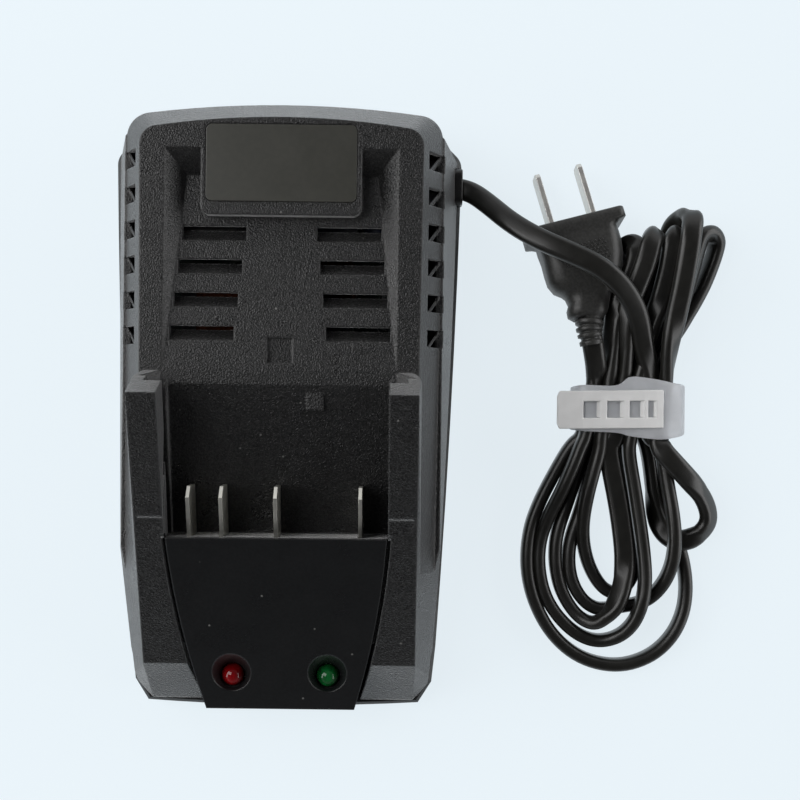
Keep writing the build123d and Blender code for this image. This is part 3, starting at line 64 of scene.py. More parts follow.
# The hank: six loops in front of the tie and five folds behind it. The letters say how the
# flat lead lies at each point: E on edge, F flat, M halfway, T leaning.
HANK_ROUTE = (
    ("waist to loop D", "MEE", (
        (106.9, 9.5, 10.6), (105.9, 1, 10.6), (105.4, -7, 10.6),
    )),
    ("loop D", "EEEEEEEEEEEEEEEEEEE", (
        (109.7, -9, 10.4), (110.9, -14.3, 10.2), (112.1, -21.8, 10.6), (113.4, -29.4, 11.6),
        (114.1, -36.7, 11.6), (113.8, -43.3, 9.8), (112.1, -49.2, 7.2), (108.8, -54.1, 4.6),
        (104.8, -56.5, 3.3), (100.2, -57.2, 3.2), (96, -58.1, 3.2), (92.3, -58.2, 3.2),
        (88.4, -55.8, 3.2), (85.2, -50.8, 3.2), (83.9, -44.7, 3.2), (84.3, -38, 3.2),
        (87.5, -28.8, 3.2), (89.9, -19, 3.3), (92.8, -10.1, 3.6),
    )),
    ("waist to fold 2", "EEM", (
        (96.5, -7, 4.3), (97.5, 1, 4.3), (98.8, 9.5, 4.3),
    )),
    ("fold 2", "FFFFFFFFFFMM", (
        (101, 20, 3), (103.2, 31, 2.2), (105.6, 42, 2.2), (107, 48.5, 2.4), (107.5, 52.4, 4.8),
        (107.5, 52.4, 13.4), (105.4, 50, 16.2), (103.9, 44.4, 16.8), (102.1, 39.3, 16.4),
        (99.8, 33.5, 15.8), (98.4, 27.8, 14.8), (98.2, 20, 13),
    )),
    ("waist to loop C", "EMF", (
        (98.8, 9.5, 10.6), (97.5, 1, 10.6), (96.5, -7, 10.6),
    )),
    ("loop C", "FFFFFMMEEEEEEEEEE", (
        (94.2, -9.5, 10.4), (95.9, -17.4, 9.9), (97.7, -25.9, 9.6), (99.1, -34.4, 9.5),
        (99.9, -41.8, 9.5), (99.7, -48.8, 9.5), (97.8, -55.3, 9.5), (94.7, -60.1, 8.2),
        (91.2, -62.4, 5.6), (87.3, -60.8, 3.8), (83.8, -56.6, 3.3), (81.1, -50.9, 3.2),
        (79.8, -43.2, 3.2), (80.4, -35.5, 3.2), (83.4, -26.7, 3.2), (86.4, -17.5, 3.2),
        (89.1, -9.8, 3.6),
    )),
    ("waist to fold 1", "EEM", (
        (92, -7, 4.3), (93.3, 1, 4.3), (94.7, 9.5, 4.3),
    )),
    ("fold 1", "FFFFFFFFFFMM", (
        (95, 20, 3), (95.4, 30, 2.4), (96.4, 38.5, 2.8), (97.2, 44.6, 4.2), (98.6, 48.8, 7.4),
        (101, 49.9, 11.4), (102, 47.6, 13.4), (101.1, 43.3, 13.6), (99.4, 38.9, 13.4),
        (97.1, 33.7, 13), (95.3, 27.8, 12.8), (94.6, 20, 12),
    )),
    ("waist to loop E", "EEE", (
        (94.7, 9.5, 10.6), (93.3, 1, 10.6), (92, -7, 10.6),
    )),
    ("loop E", "EEEEEEEEEEEEEEEE", (
        (92, -10.1, 10.4), (90.4, -16.3, 10.2), (88.8, -23.1, 9.3), (87.8, -30.5, 6.8),
        (87.9, -36.8, 4.8), (89.2, -43.1, 3.5), (91.6, -48.5, 3.2), (94.6, -52.3, 3.2),
        (98.1, -53.6, 3.2), (101.7, -50.9, 3.2), (103.8, -46, 3.2), (104.5, -39.1, 3.2),
        (103.9, -32.3, 3.2), (102.4, -24.8, 3.2), (100.9, -17.3, 3.3), (99.5, -10, 3.7),
    )),
    ("waist to fold 4", "EEM", (
        (100.9, -7, 4.3), (101.7, 1, 4.3), (102.8, 9.5, 4.3),
    )),
    ("fold 4", "FFFFFFFFFFFM", (
        (108.6, 20, 3), (111.4, 30, 2.2), (112, 40, 2.2), (112.4, 49.5, 2.5), (113.2, 55.4, 4.6),
        (115.6, 57.6, 9.6), (117.6, 57.8, 15), (116.6, 52.8, 18.2), (115.7, 46.1, 18.4),
        (114.5, 37.6, 17.4), (113.1, 29.9, 16.2), (111.5, 21, 14.4),
    )),
    ("waist to loop F", "EEM", (
        (111, 9.5, 10.6), (110.1, 1, 10.6), (108.8, -7, 12),
    )),
    ("loop F", "FFFMMMMFFFMEEE", (
        (109.2, -10.1, 14), (112.9, -14.1, 14.3), (117.3, -18.5, 12.6), (121.7, -23, 10),
        (124.3, -27.6, 8.2), (124.8, -31.7, 7.2), (122.5, -35.1, 6.8), (118.9, -37.1, 6.6),
        (115, -37.4, 6.2), (111.8, -35, 4.6), (109.8, -30.1, 3.5), (108.7, -22.7, 3.2),
        (107.8, -15.2, 3.3), (106.6, -9.6, 3.8),
    )),
    ("waist to fold 5", "EEE", (
        (105.4, -7, 4.3), (105.9, 1, 4.3), (106.9, 9.5, 4.3),
    )),
    ("fold 5", "EEETTTTTTTTE", (
        (109.8, 16.9, 4.5), (113.4, 21.4, 5), (118.2, 29.1, 5.4), (122.6, 38.6, 5.8),
        (125.5, 46.6, 6.3), (126.2, 51.1, 7.6), (123.8, 53.2, 10.4), (120.8, 52, 12.6),
        (119.4, 47.6, 12.9), (117.6, 40.1, 12.2), (115.1, 30.5, 10.6), (112.9, 21.8, 8),
    )),
    ("waist to loop A", "EEE", (
        (111, 9.5, 4.3), (110.1, 1, 4.3), (109.8, -7, 4.3),
    )),
    ("loop A", "EEEEEEEEEEEEEEEEEEE", (
        (111.4, -9.8, 3.8), (111.9, -14.6, 3.3), (112.5, -22.2, 3.3), (113.8, -30, 3.3),
        (116.2, -37.5, 3.3), (118.3, -44.3, 3.3), (119.2, -52, 3.2), (118.2, -59.7, 3.2),
        (114.6, -66.9, 3.2), (108.1, -72.6, 3.2), (98.6, -75.4, 3.2), (87.8, -73.1, 3.2),
        (79.3, -66.3, 3.2), (73.8, -56.6, 3.2), (71.4, -46.4, 3.2), (72, -35.6, 3.2),
        (74.9, -26.9, 3.2), (80.2, -16.6, 3.2), (84.4, -9.3, 3.5),
    )),
    ("waist to fold 3", "EEE", (
        (87.6, -7, 4.3), (89.1, 1, 4.3), (90.6, 9.5, 4.3),
    )),
    ("fold 3", "MMMFFFFFFFFFMM", (
        (92.6, 17.5, 6.2), (97, 24.5, 7.4), (102, 31, 7.6), (107.2, 38, 7.5), (111.4, 45, 6.8),
        (113.3, 49.8, 6.6), (113.8, 52.6, 8.8), (113.8, 52.6, 13.6), (111.9, 50.5, 15.2),
        (111.3, 45.3, 14.8), (110.5, 40.2, 13.9), (109, 34.1, 12.9), (106.6, 26.8, 12.2),
        (104.1, 19.2, 11.6),
    )),
    ("waist to loop B", "EEE", (
        (102.8, 9.5, 10.6), (101.7, 1, 10.6), (100.9, -7, 10.6),
    )),
    ("loop B", "EEEEEEEEEEEEEEEEEE", (
        (100.2, -10.6, 10.4), (102.2, -21.2, 9.9), (103.9, -31.1, 9.7), (105.4, -41.4, 9.7),
        (105.9, -49.7, 9.8), (104.8, -56.3, 9.8), (102.6, -62.2, 7.6), (98.5, -66.4, 5),
        (92.5, -67.9, 3.7), (86.4, -65.7, 3.3), (80.7, -60.4, 3.2), (76.8, -54, 3.2),
        (75, -45.8, 3.2), (75.3, -38.1, 3.4), (77.6, -30.8, 5), (81, -23.3, 8.6),
        (84.5, -14.6, 10.2), (86.3, -9.6, 10.5),
    )),
    ("waist to plug", "EEM", (
        (87.6, -7, 10.6), (89.1, 1, 10.6), (90.6, 9.5, 10.6),
    )),
    ("into the plug", "FFFFFF", (
        (90.4, 13, 12.8), (89, 19, 15.8), (87.9, 24.9, 15.4), (87.7, 32.1, 14.1),
        (86.9, 42.1, 12.3), (84.4, 51, 10.7),
    )),
)
LEANS = {"E": 90.0, "F": 0.0, "M": 45.0, "T": 68.0}

# --- Inlet ---------------------------------------------------------------------------
# The grommet in the side wall, flush with it: its ends in x, its middle in y and z, and its
# size along y and z.
INLET_X = (45.2, 50.8)
INLET_MIDDLE = (65.6, 9.0)
INLET_SIZE = (10.6, 7.8)
INLET_CORNER = 2.0
INLET_SIDES = 6
INLET_EDGE = 0.3

# --- Plug ----------------------------------------------------------------------------
PLUG_FOOT = (83.1, 55.4, 9.95)      # middle of the flange's face
PLUG_TURN = 15.9
PLUG_PITCH = 9.6
PLUG_ROLL = -4.1
# Sections from the flange's face backwards: distance, reach to the left and to the right of
# the axis, height, corner radius.
PLUG_SECTIONS = (
    (0.0, 14.2, 14.2, 14.6, 1.6), (0.3, 14.5, 14.5, 15.2, 2.0), (3.0, 14.5, 14.5, 15.2, 2.0),
    (3.4, 13.2, 12.8, 14.6, 2.6), (4.4, 11.9, 11.7, 13.8, 3.6), (6.4, 12.0, 11.9, 14.4, 4.4),
    (9.4, 11.8, 11.9, 14.5, 4.8), (13.0, 12.0, 11.4, 14.0, 5.0), (16.2, 12.0, 10.4, 13.0, 5.0),
    (18.7, 11.0, 8.8, 12.0, 4.9), (20.2, 9.2, 7.4, 11.0, 4.8), (21.4, 8.3, 6.2, 10.4, 4.6),
    (23.5, 8.0, 4.8, 9.8, 4.4), (25.0, 8.9, 4.0, 9.8, 4.4), (26.9, 9.1, 3.2, 9.4, 4.4),
    (28.2, 7.8, 2.4, 8.8, 4.2),
)
PLUG_SIDES = 9          # points round each corner of a section
# The ribbed tail: how far beside the axis, behind the flange's face and above the axis.
TAIL_ROUTE = ((-2.9, 28.2, 0.0), (-3.9, 31.0, 0.1), (-4.4, 33.6, 0.0), (-4.6, 36.2, -0.5))
TAIL_STEPS = 16
TAIL_RINGS = 4
TAIL_RADIUS = (4.3, 3.3)
TAIL_GROOVE = 0.8

BLADE_APART = 12.7
BLADE_WIDTH = 6.35
BLADE_THICK = 1.5
BLADE_REACH = 16.5
BLADE_ROOT = 1.0        # length inside the moulding
BLADE_TIP = 1.2         # length of the bevelled tip
BLADE_TIP_SLANT = 0.7   # how far the bevel cuts in, as a share of its length
BLADE_EDGE = 0.15

DOT_ROWS = 6
DOT_COLUMNS = 13
DOT_PITCH = 1.05
DOT_START = 8.4
DOT_MIDDLE = -0.6
DOT_SIZE = 0.42
DOT_SINK = 0.05
DOT_HEIGHT = 0.45

# --- Tie -----------------------------------------------------------------------------
# The band round the bundle: x, z, and its two edges in y, once round.
TIE_BAND = (
    (84.3, 13.2, -5.0, 8.0), (85.8, 15.0, -5.2, 8.3), (90.0, 15.4, -5.3, 8.2),
    (97.6, 15.5, -5.5, 7.8), (98.6, 15.6, -6.4, 11.2), (104.0, 15.6, -7.0, 10.6),
    (109.5, 15.4, -7.6, 9.8), (112.8, 14.2, -6.8, 9.0), (115.8, 12.4, -6.4, 8.8),
    (117.2, 9.0, -5.6, 8.0), (117.2, 5.0, -5.2, 7.4), (115.6, 2.2, -5.2, 7.2),
    (111.0, 0.8, -5.0, 7.0), (100.0, 0.7, -5.0, 7.0), (88.0, 0.7, -5.0, 7.0),
    (85.0, 1.4, -5.0, 7.2), (83.7, 4.0, -5.0, 7.4), (83.6, 8.5, -5.0, 7.7),
)
TIE_STRIPS = 3          # faces across the band
TIE_LEVELS = 2          # of subdivision
TIE_THICK = 1.0
TIE_EDGE = 0.2
# The ladder strap on top: where its bars and windows begin and end along x, the height there,
# and whether a window opens in the span that follows.
STRAP_SPANS = (
    (78.7, 14.6, False), (79.4, 14.9, False), (84.3, 15.9, False), (86.3, 16.2, True),
    (91.3, 16.5, False), (93.1, 16.6, True), (98.0, 16.7, False), (99.6, 16.7, True),
    (103.8, 16.6, False), (105.0, 16.5, True), (107.4, 16.2, False), (109.6, 15.8, False),
)
STRAP_MIDDLE = 0.9
STRAP_HALF = 5.5
STRAP_TONGUE = 1.6      # how far each edge draws in at the tongue's end
STRAP_WINDOW_HALF = 2.4
STRAP_THICK = 1.1
STRAP_EDGE = 0.3
STRAP_RAMP = 1.2
STRAP_RAMP_DROP = 1.2
STRAP_SKEW = 0.02       # how far the strap climbs in y along x

# --- Rails ---------------------------------------------------------------------------
# A web that closes each battery rail where the deck's hollow runs out under it.
WEB_INNER = 30.6
WEB_OUTER = 38.2
WEB_FOOT = 40.2
WEB_HEAD = 43.4
WEB_BACK = -18.0
WEB_INSET = 0.05
RAIL_SLOPE = 0.425
RAIL_SLOPE_POINT = (-27.43, 43.5)

# --- Surfaces ------------------------------------------------------------------------
# Grain depths and edge roundings are in metres.
GRAIN_NOISE = (1.0, 0.5)                # detail and roughness
SPECKLE_SHARE = 0.8     # scale of the colour's speckle, as a share of the grain's
SPECKLE_STOPS = (0.38, 0.62)
GLOSS_NOISE = (90.0, 4.0, 0.6)          # scale, detail and roughness
GLOSS_STOPS = (0.3, 0.7)
GLOSS_SPREAD = 0.04
ROUGHNESS_LEAST = 0.05
SHEEN_ROUGHNESS = 0.35
ROUNDING_SAMPLES = 6
METAL_GRAIN = 0.000008
METAL_ROUNDING = 0.0002
METAL_SPREAD = 0.05
CLEAR_GRAIN = 0.000003
CLEAR_SPREAD = 0.03
DUST_SCALE = 150.0
DUST_STOPS = (0.03, 0.06)
DUST_COLOUR = (0.20, 0.20, 0.19, 1.0)

# --- Light ---------------------------------------------------------------------------
# Sizes and places are in metres here.
BACKGROUND = (0.855, 0.939, 0.991)
FLOOR_GLOW = 0.85       # share of the floor's colour that needs no light
FLOOR_REACH = 3.0
FLOOR_DROP = 0.0002
FLOOR_ROUGHNESS = 0.9
# Brightness of the room by the height of the direction, from the horizon to straight up.
WALLS = (
    (0.0, (0.90, 0.90, 0.90)), (0.15, (0.70, 0.70, 0.71)), (0.35, (0.46, 0.46, 0.47)),
    (0.6, (0.20, 0.20, 0.21)), (0.8, (0.08, 0.08, 0.085)), (1.0, (0.04, 0.04, 0.045)),
)
FRONT_SHADE = (-1.0, 0.2, 0.35, 1.1)     # the room is darker towards the front
# Name, place, length and height, and power in watts.
LIGHTS = (
    ("window", (-1.10, 0.20, 0.44), (1.6, 0.8), 12.0),
    ("side_window", (1.10, 0.10, 0.40), (1.6, 0.7), 8.0),
    ("rear_window", (0.15, 1.10, 0.45), (1.6, 0.6), 1.0),
    ("key", (-0.50, 0.16, 0.80), (0.45, 0.6), 2.8),
)
LIGHTS_AIM = (0.02, 0.0, 0.02)


# --- Shared helpers ------------------------------------------------------------------
def to_metres(point):
    return Vector(point) * MM


def make_mesh(name, vertices, faces, smooth=True):
    mesh = bpy.data.meshes.new(name)
    mesh.from_pydata([tuple(v) for v in vertices], [], faces)
    mesh.validate()
    for polygon in mesh.polygons:
        polygon.use_smooth = smooth
    piece = bpy.data.objects.new(name, mesh)
    bpy.context.scene.collection.objects.link(piece)
    return piece


def make_piece(name, vertices, faces, finish, smooth=True):
    """A piece of the object, from points in metres."""
    piece = make_mesh(name, vertices, faces, smooth)
    piece.data.materials.append(MATERIALS[finish])
    return piece


def rounded_rectangle(width, height, corner, steps):
    """Points round a rectangle with rounded corners, anticlockwise from the right side."""
    points = []
    corner = min(corner, width / 2 - SLIVER, height / 2 - SLIVER)
    for turn, (sx, sy) in enumerate(((1, 1), (-1, 1), (-1, -1), (1, -1))):
        middle = Vector((sx * (width / 2 - corner), sy * (height / 2 - corner)))
        for k in range(steps):
            angle = math.pi / 2 * (turn + k / (steps - 1))
            points.append(middle + corner * Vector((math.cos(angle), math.sin(angle))))
    return points


def flatten(rings):
    return [v for ring in rings for v in ring]


def skin(rings):
    """Faces between rings of equal length, with a cap on both ends."""
    count = len(rings[0])
    faces = []
    for i in range(len(rings) - 1):
        a, b = i * count, (i + 1) * count
        for k in range(count):
            after = (k + 1) % count
            faces.append((a + k, a + after, b + after, b + k))
    faces.append(tuple(reversed(range(count))))
    faces.append(tuple(range((len(rings) - 1) * count, len(rings) * count)))
    return faces


def soften_edges(piece, width):
    edge = piece.modifiers.new("edge", "BEVEL")
    edge.width = width * MM
    edge.segments = 2
    edge.limit_method = "ANGLE"


# --- Materials -----------------------------------------------------------------------
def new_material(name):
    material = bpy.data.materials.new(name)
    material.use_nodes = True
    tree = material.node_tree
    shader = tree.nodes["Principled BSDF"]
    return material, tree, shader


def add_node(tree, kind, **inputs):
    node = tree.nodes.new(kind)
    for key, value in inputs.items():
        node.inputs[key.replace("_", " ")].default_value = value
    return node


def on_object(tree, node):
    """Lay a texture out in the object's own coordinates."""
    place = tree.nodes.new("ShaderNodeTexCoord")
    tree.links.new(place.outputs["Object"], node.inputs["Vector"])
    return node


def noise(tree, scale, detail, roughness):
    grain = add_node(tree, "ShaderNodeTexNoise", Scale=scale, Detail=detail, Roughness=roughness)
    return on_object(tree, grain)


def ramp(tree, source, places, colours):
    node = tree.nodes.new("ShaderNodeValToRGB")
    elements = node.color_ramp.elements
    while len(elements) < len(places):
        elements.new(0.5)
    for element, place, colour in zip(elements, places, colours):
        element.position = place
        element.color = (*colour, 1.0)
    tree.links.new(source, node.inputs["Fac"])
    return node


def grey(value):
    return (value, value, value)


def add_dust(tree, shader, colour, amount):
    """A few pale specks, as settle on black plastic."""
    cells = add_node(tree, "ShaderNodeTexVoronoi", Scale=DUST_SCALE, Randomness=1.0)
    on_object(tree, cells)
    specks = ramp(tree, cells.outputs["Distance"], DUST_STOPS, (grey(amount), grey(0.0)))
    mix = tree.nodes.new("ShaderNodeMix")
    mix.data_type = "RGBA"
    mix.inputs["B"].default_value = DUST_COLOUR
    tree.links.new(specks.outputs["Color"], mix.inputs["Factor"])
    tree.links.new(colour.outputs["Color"], mix.inputs["A"])
    tree.links.new(mix.outputs["Result"], shader.inputs["Base Color"])


def add_grain(tree, shader, scale, depth, rounding):
    """A spark-eroded grain, over edges that look rounded where rounding is given."""
    bump = add_node(tree, "ShaderNodeBump", Strength=1.0, Distance=depth)
    tree.links.new(noise(tree, scale, *GRAIN_NOISE).outputs["Fac"], bump.inputs["Height"])
    if rounding:
        bevel = add_node(tree, "ShaderNodeBevel", Radius=rounding)
        bevel.samples = ROUNDING_SAMPLES
        tree.links.new(bevel.outputs["Normal"], bump.inputs["Normal"])
    tree.links.new(bump.outputs["Normal"], shader.inputs["Normal"])


def moulded(name, dark, light, roughness, grain_scale, grain_depth, rounding=0.0,
            spread=GLOSS_SPREAD, sheen=0.0, dust=0.0):
    """A moulded plastic: speckled colour, uneven gloss and a fine grain."""
    material, tree, shader = new_material(name)
    # The speckle is the plastic's own tone; on the housing its pale specks are partly painted
    # glints of the grain too.
    speckle = noise(tree, grain_scale * SPECKLE_SHARE, *GRAIN_NOISE)
    colour = ramp(tree, speckle.outputs["Fac"], SPECKLE_STOPS, (dark, light))
    tree.links.new(colour.outputs["Color"], shader.inputs["Base Color"])
    if dust:
        add_dust(tree, shader, colour, dust)
    gloss = noise(tree, *GLOSS_NOISE)
    smoothest = max(ROUGHNESS_LEAST, roughness - spread)
    ends = (grey(smoothest), grey(roughness + spread))
    rough = ramp(tree, gloss.outputs["Fac"], GLOSS_STOPS, ends)
    tree.links.new(rough.outputs["Color"], shader.inputs["Roughness"])
    add_grain(tree, shader, grain_scale, grain_depth, rounding)
    shader.inputs["Sheen Weight"].default_value = sheen
    shader.inputs["Sheen Roughness"].default_value = SHEEN_ROUGHNESS
    return material


def with_input(material, name, value):
    material.node_tree.nodes["Principled BSDF"].inputs[name].default_value = value
    return material


def metal(name, dark, light, roughness, grain_scale=900.0):
    material = moulded(name, dark, light, roughness, grain_scale, METAL_GRAIN,
                       rounding=METAL_ROUNDING, spread=METAL_SPREAD)
    return with_input(material, "Metallic", 1.0)


def clear(name, dark, light, roughness, transmission, grain_scale=500.0):
    material = moulded(name, dark, light, roughness, grain_scale, CLEAR_GRAIN, spread=CLEAR_SPREAD)
    return with_input(material, "Transmission Weight", transmission)


def paint(node, material):
    for slot in nodes[node].material_slots:
        slot.material = material
    if not nodes[node].material_slots:
        nodes[node].data.materials.append(material)


# --- Lead ----------------------------------------------------------------------------
def nurbs_line(points, steps=CORD_STEPS):
    """The points that a smooth spline along the route runs through."""
    curve = bpy.data.curves.new("lead_line", "CURVE")
    curve.dimensions = "3D"
    spline = curve.splines.new("NURBS")
    spline.points.add(len(points) - 1)
    for place, point in zip(spline.points, points):
        place.co = (*point, 1.0)
    spline.order_u = 3
    spline.use_endpoint_u = True
    spline.resolution_u = steps
    holder = bpy.data.objects.new("lead_line", curve)
    bpy.context.scene.collection.objects.link(holder)
    bpy.context.view_layer.update()
    mesh = bpy.data.meshes.new_from_object(holder)
    line = [v.co.copy() for v in mesh.vertices]
    bpy.data.objects.remove(holder)
    bpy.data.meshes.remove(mesh)
    bpy.data.curves.remove(curve)
    return line


def facing(direction, towards):
    """The direction, turned round if it points away from the other one."""
    return direction if direction.dot(towards) >= 0 else -direction


def level_side(direction):
    """The level direction to the right of another one."""
    side = Vector((direction.y, -direction.x, 0))
    return side.normalized() if side.length > 1e-9 else Vector((1, 0, 0))


def lead_leans(points, letters):
    """For each point of the route, the direction of the section's wide axis."""
    leans = []
    side_before = level_side(points[1] - points[0])
    for i, letter in enumerate(letters):
        before = points[max(0, i - 1)]
        after = points[min(len(points) - 1, i + 1)]
        side = level_side(after - before)
        side_before = side = facing(side, side_before)
        angle = math.radians(LEANS[letter])
        leans.append(math.cos(angle) * side + math.sin(angle) * Vector((0, 0, 1)))
    return leans


def lean_between(leans, place):
    k = min(len(leans) - 2, int(place))
    return leans[k].lerp(facing(leans[k + 1], leans[k]), place - k)


def lead_frames(line, leans):
    """The wide and the thin axis of the section at each point of the line."""
    frames = []
    wide_before = leans[0]
    last = len(leans) - 1
    for i in range(len(line)):
        tangent = (line[min(i + 1, len(line) - 1)] - line[max(i - 1, 0)]).normalized()
        place = min(last, max(0.0, i / (len(line) - 1) * (last - 1) + 0.5))
        wide = lean_between(leans, place)
        wide = facing((wide - wide.dot(tangent) * tangent).normalized(), wide_before)
        wide_before = wide
        frames.append((wide, tangent.cross(wide)))
    return frames


def build_lead():
    """The flat lead, and the line that it follows."""
    route = [to_metres(p) for p in LEAD_ROUTE]
    letters = "F" * len(route)
    for _, stretch_letters, points in HANK_ROUTE:
        route += [to_metres(p) for p in points]
        letters += stretch_letters
    line = nurbs_line(route)
    frames = lead_frames(line, lead_leans(route, letters))
    section = rounded_rectangle(CORD_WIDTH * MM, CORD_THICK * MM, CORD_CORNER * MM, CORD_SIDES)
    rings = [
        [point + wide * x + thin * y for x, y in section]
        for point, (wide, thin) in zip(line, frames)
    ]
    return make_piece("mains_lead", flatten(rings), skin(rings), "cord"), line


def build_inlet():
    y, z = INLET_MIDDLE
    section = rounded_rectangle(*INLET_SIZE, INLET_CORNER, INLET_SIDES)
    rings = [[to_metres((x, y + across, z + up)) for across, up in section] for x in INLET_X]
    inlet = make_piece("inlet_grommet", flatten(rings), skin(rings), "base", False)
    soften_edges(inlet, INLET_EDGE)
    return inlet


# --- Plug ----------------------------------------------------------------------------
def plug_axes():
    turn = math.radians(PLUG_TURN)
    pitch = math.radians(PLUG_PITCH)
    roll = math.radians(PLUG_ROLL)
    level = math.cos(pitch)
    forward = Vector((-math.sin(turn) * level, math.cos(turn) * level, -math.sin(pitch)))
    side = Vector((math.cos(turn), math.sin(turn), 0))
    across = side * math.cos(roll) + side.cross(forward) * math.sin(roll)
    return forward, across, across.cross(forward)


def plug_place(across_by, back, up_by=0.0):
    forward, across, up = plug_axes()
    return Vector(PLUG_FOOT) - forward * back + across * across_by + up * up_by


def body_rings():
    _, across, up = plug_axes()
    rings = []
    for back, left, right, height, corner in PLUG_SECTIONS:
        middle = plug_place((right - left) / 2, back)
        section = rounded_rectangle(left + right, height, corner, PLUG_SIDES)
        rings.append([middle + across * x + up * y for x, y in section])
    return rings


def tail_radius(share):
    radius = TAIL_RADIUS[0] + (TAIL_RADIUS[1] - TAIL_RADIUS[0]) * share
    wave = math.sin(2 * math.pi * TAIL_RINGS * share)
    return radius - TAIL_GROOVE * max(0.0, wave) ** 0.5


def tail_rings():
    """The ribbed tail that the lead goes into, one ring for each point of its line."""
    _, across, up = plug_axes()
    route = [to_metres(plug_place(beside, back, level)) for beside, back, level in TAIL_ROUTE]
    line = [v / MM for v in nurbs_line(route, TAIL_STEPS)]
    rings = []
    for i, middle in enumerate(line[1:], 1):
        ahead = (middle - line[i - 1]).normalized()
        side = facing(ahead.cross(up).normalized(), across)
        top = facing(side.cross(ahead), up)
        radius = tail_radius(i / (len(line) - 1))
        section = rounded_rectangle(2 * radius, 2 * radius, radius, PLUG_SIDES)
        rings.append([middle + side * x + top * y for x, y in section])
    return rings


def build_plug():
    rings = body_rings() + tail_rings()
    vertices = [to_metres(v) for v in flatten(rings)]
    return make_piece("plug_moulding", vertices, skin(rings), "plug")


def build_plug_contacts():
    """The two flat blades, with bevelled tips."""
    half = BLADE_WIDTH / 2
    tip_half = half - BLADE_TIP * BLADE_TIP_SLANT
    outline = (
        (BLADE_ROOT, -half), (BLADE_TIP - BLADE_REACH, -half), (-BLADE_REACH, -tip_half),
        (-BLADE_REACH, tip_half), (BLADE_TIP - BLADE_REACH, half), (BLADE_ROOT, half),
    )
    vertices = []
    faces = []
    for middle in (-BLADE_APART / 2, BLADE_APART / 2):
        rings = [
            [plug_place(middle + x, back, level) for back, level in outline]
            for x in (-BLADE_THICK / 2, BLADE_THICK / 2)
        ]
        faces += [tuple(n + len(vertices) for n in face) for face in skin(rings)]
        vertices += [to_metres(v) for v in flatten(rings)]
    contacts = make_piece("plug_contacts", vertices, faces, "blade", False)
    soften_edges(contacts, BLADE_EDGE)
    return contacts


def section_height(back):
    for before, after in zip(PLUG_SECTIONS, PLUG_SECTIONS[1:]):
        if before[0] <= back <= after[0]:
            share = (back - before[0]) / (after[0] - before[0])
            return before[3] + (after[3] - before[3]) * share
    return PLUG_SECTIONS[-1][3]


def build_plug_dots():
    """The field of small pyramids on both faces of the grip."""
    vertices = []
    faces = []
    for face, row, column in itertools.product((1, -1), range(DOT_ROWS), range(DOT_COLUMNS)):
        back = DOT_START + row * DOT_PITCH
        level = face * (section_height(back) / 2 - DOT_SINK)
        beside = (column - (DOT_COLUMNS - 1) / 2 + 0.5 * (row % 2)) * DOT_PITCH + DOT_MIDDLE
        k = len(vertices)
        for dx, dy in ((1, 0), (0, 1), (-1, 0), (0, -1)):
            vertices.append(plug_place(beside + dx * DOT_SIZE, back + dy * DOT_SIZE, level))
        vertices.append(plug_place(beside, back, level + face * DOT_HEIGHT))
        faces += [(k + n, k + (n + 1) % 4, k + 4) for n in range(4)]
        faces.append((k + 3, k + 2, k + 1, k))
    return make_piece("plug_grip_dots", [to_metres(v) for v in vertices], faces, "plug", False)


# --- Tie -----------------------------------------------------------------------------
def thicken(piece, thickness, edge_width, levels=0):
    if levels:
        smooth = piece.modifiers.new("smooth", "SUBSURF")
        smooth.levels = smooth.render_levels = levels
    solid = piece.modifiers.new("thickness", "SOLIDIFY")
    solid.thickness = thickness * MM
    solid.offset = -1.0
    soften_edges(piece, edge_width)


def build_tie_band():
    vertices = [
        to_metres((x, low + (high - low) * k / TIE_STRIPS, z))
        for x, z, low, high in TIE_BAND for k in range(TIE_STRIPS + 1)
    ]
    row = TIE_STRIPS + 1
    faces = []
    for i in range(len(TIE_BAND)):
        a, b = i * row, (i + 1) % len(TIE_BAND) * row
        faces += [(a + k, b + k, b + k + 1, a + k + 1) for k in range(TIE_STRIPS)]
    band = make_piece("tie_band", vertices, faces, "tie_band")
    thicken(band, TIE_THICK, TIE_EDGE, TIE_LEVELS)
    return band


def strap_row(i, x, z):
    """The four points across the strap where its span i begins."""
    half = STRAP_HALF - (STRAP_TONGUE if i == 0 else 0.0)
    middle = STRAP_MIDDLE + (x - STRAP_SPANS[0][0]) * STRAP_SKEW
    across = (-half, -STRAP_WINDOW_HALF, STRAP_WINDOW_HALF, half)
    return [to_metres((x, middle + y, z)) for y in across]


def add_strap_ramp(vertices, bar):
    """The slanted side of a bar, down into the window on its left."""
    ramp_foot = to_metres((-STRAP_RAMP, 0, -STRAP_RAMP_DROP))
    k = len(vertices)
    vertices += [vertices[bar + 1] + ramp_foot, vertices[bar + 2] + ramp_foot]
    return (k, bar + 1, bar + 2, k + 1)


def build_tie_strap():
    """The free end of the tie: a ladder strap with square windows and a rounded tongue."""
    vertices = []
    faces = []
    for i, (x, z, _) in enumerate(STRAP_SPANS):
        vertices += strap_row(i, x, z)
    spans = [(i * 4, opens) for i, (_, _, opens) in enumerate(STRAP_SPANS[:-1])]
    for a, opens in spans:
        strips = (0, 2) if opens else (0, 1, 2)
        faces += [(a + k, a + k + 4, a + k + 5, a + k + 1) for k in strips]
    faces += [add_strap_ramp(vertices, a + 4) for a, opens in spans if opens]
    strap = make_piece("tie_strap", vertices, faces, "tie_strap", False)
    thicken(strap, STRAP_THICK, STRAP_EDGE)
    return strap


# --- Rails ---------------------------------------------------------------------------
def rail_front(z):
    y, at = RAIL_SLOPE_POINT
    return y + (z - at) / RAIL_SLOPE


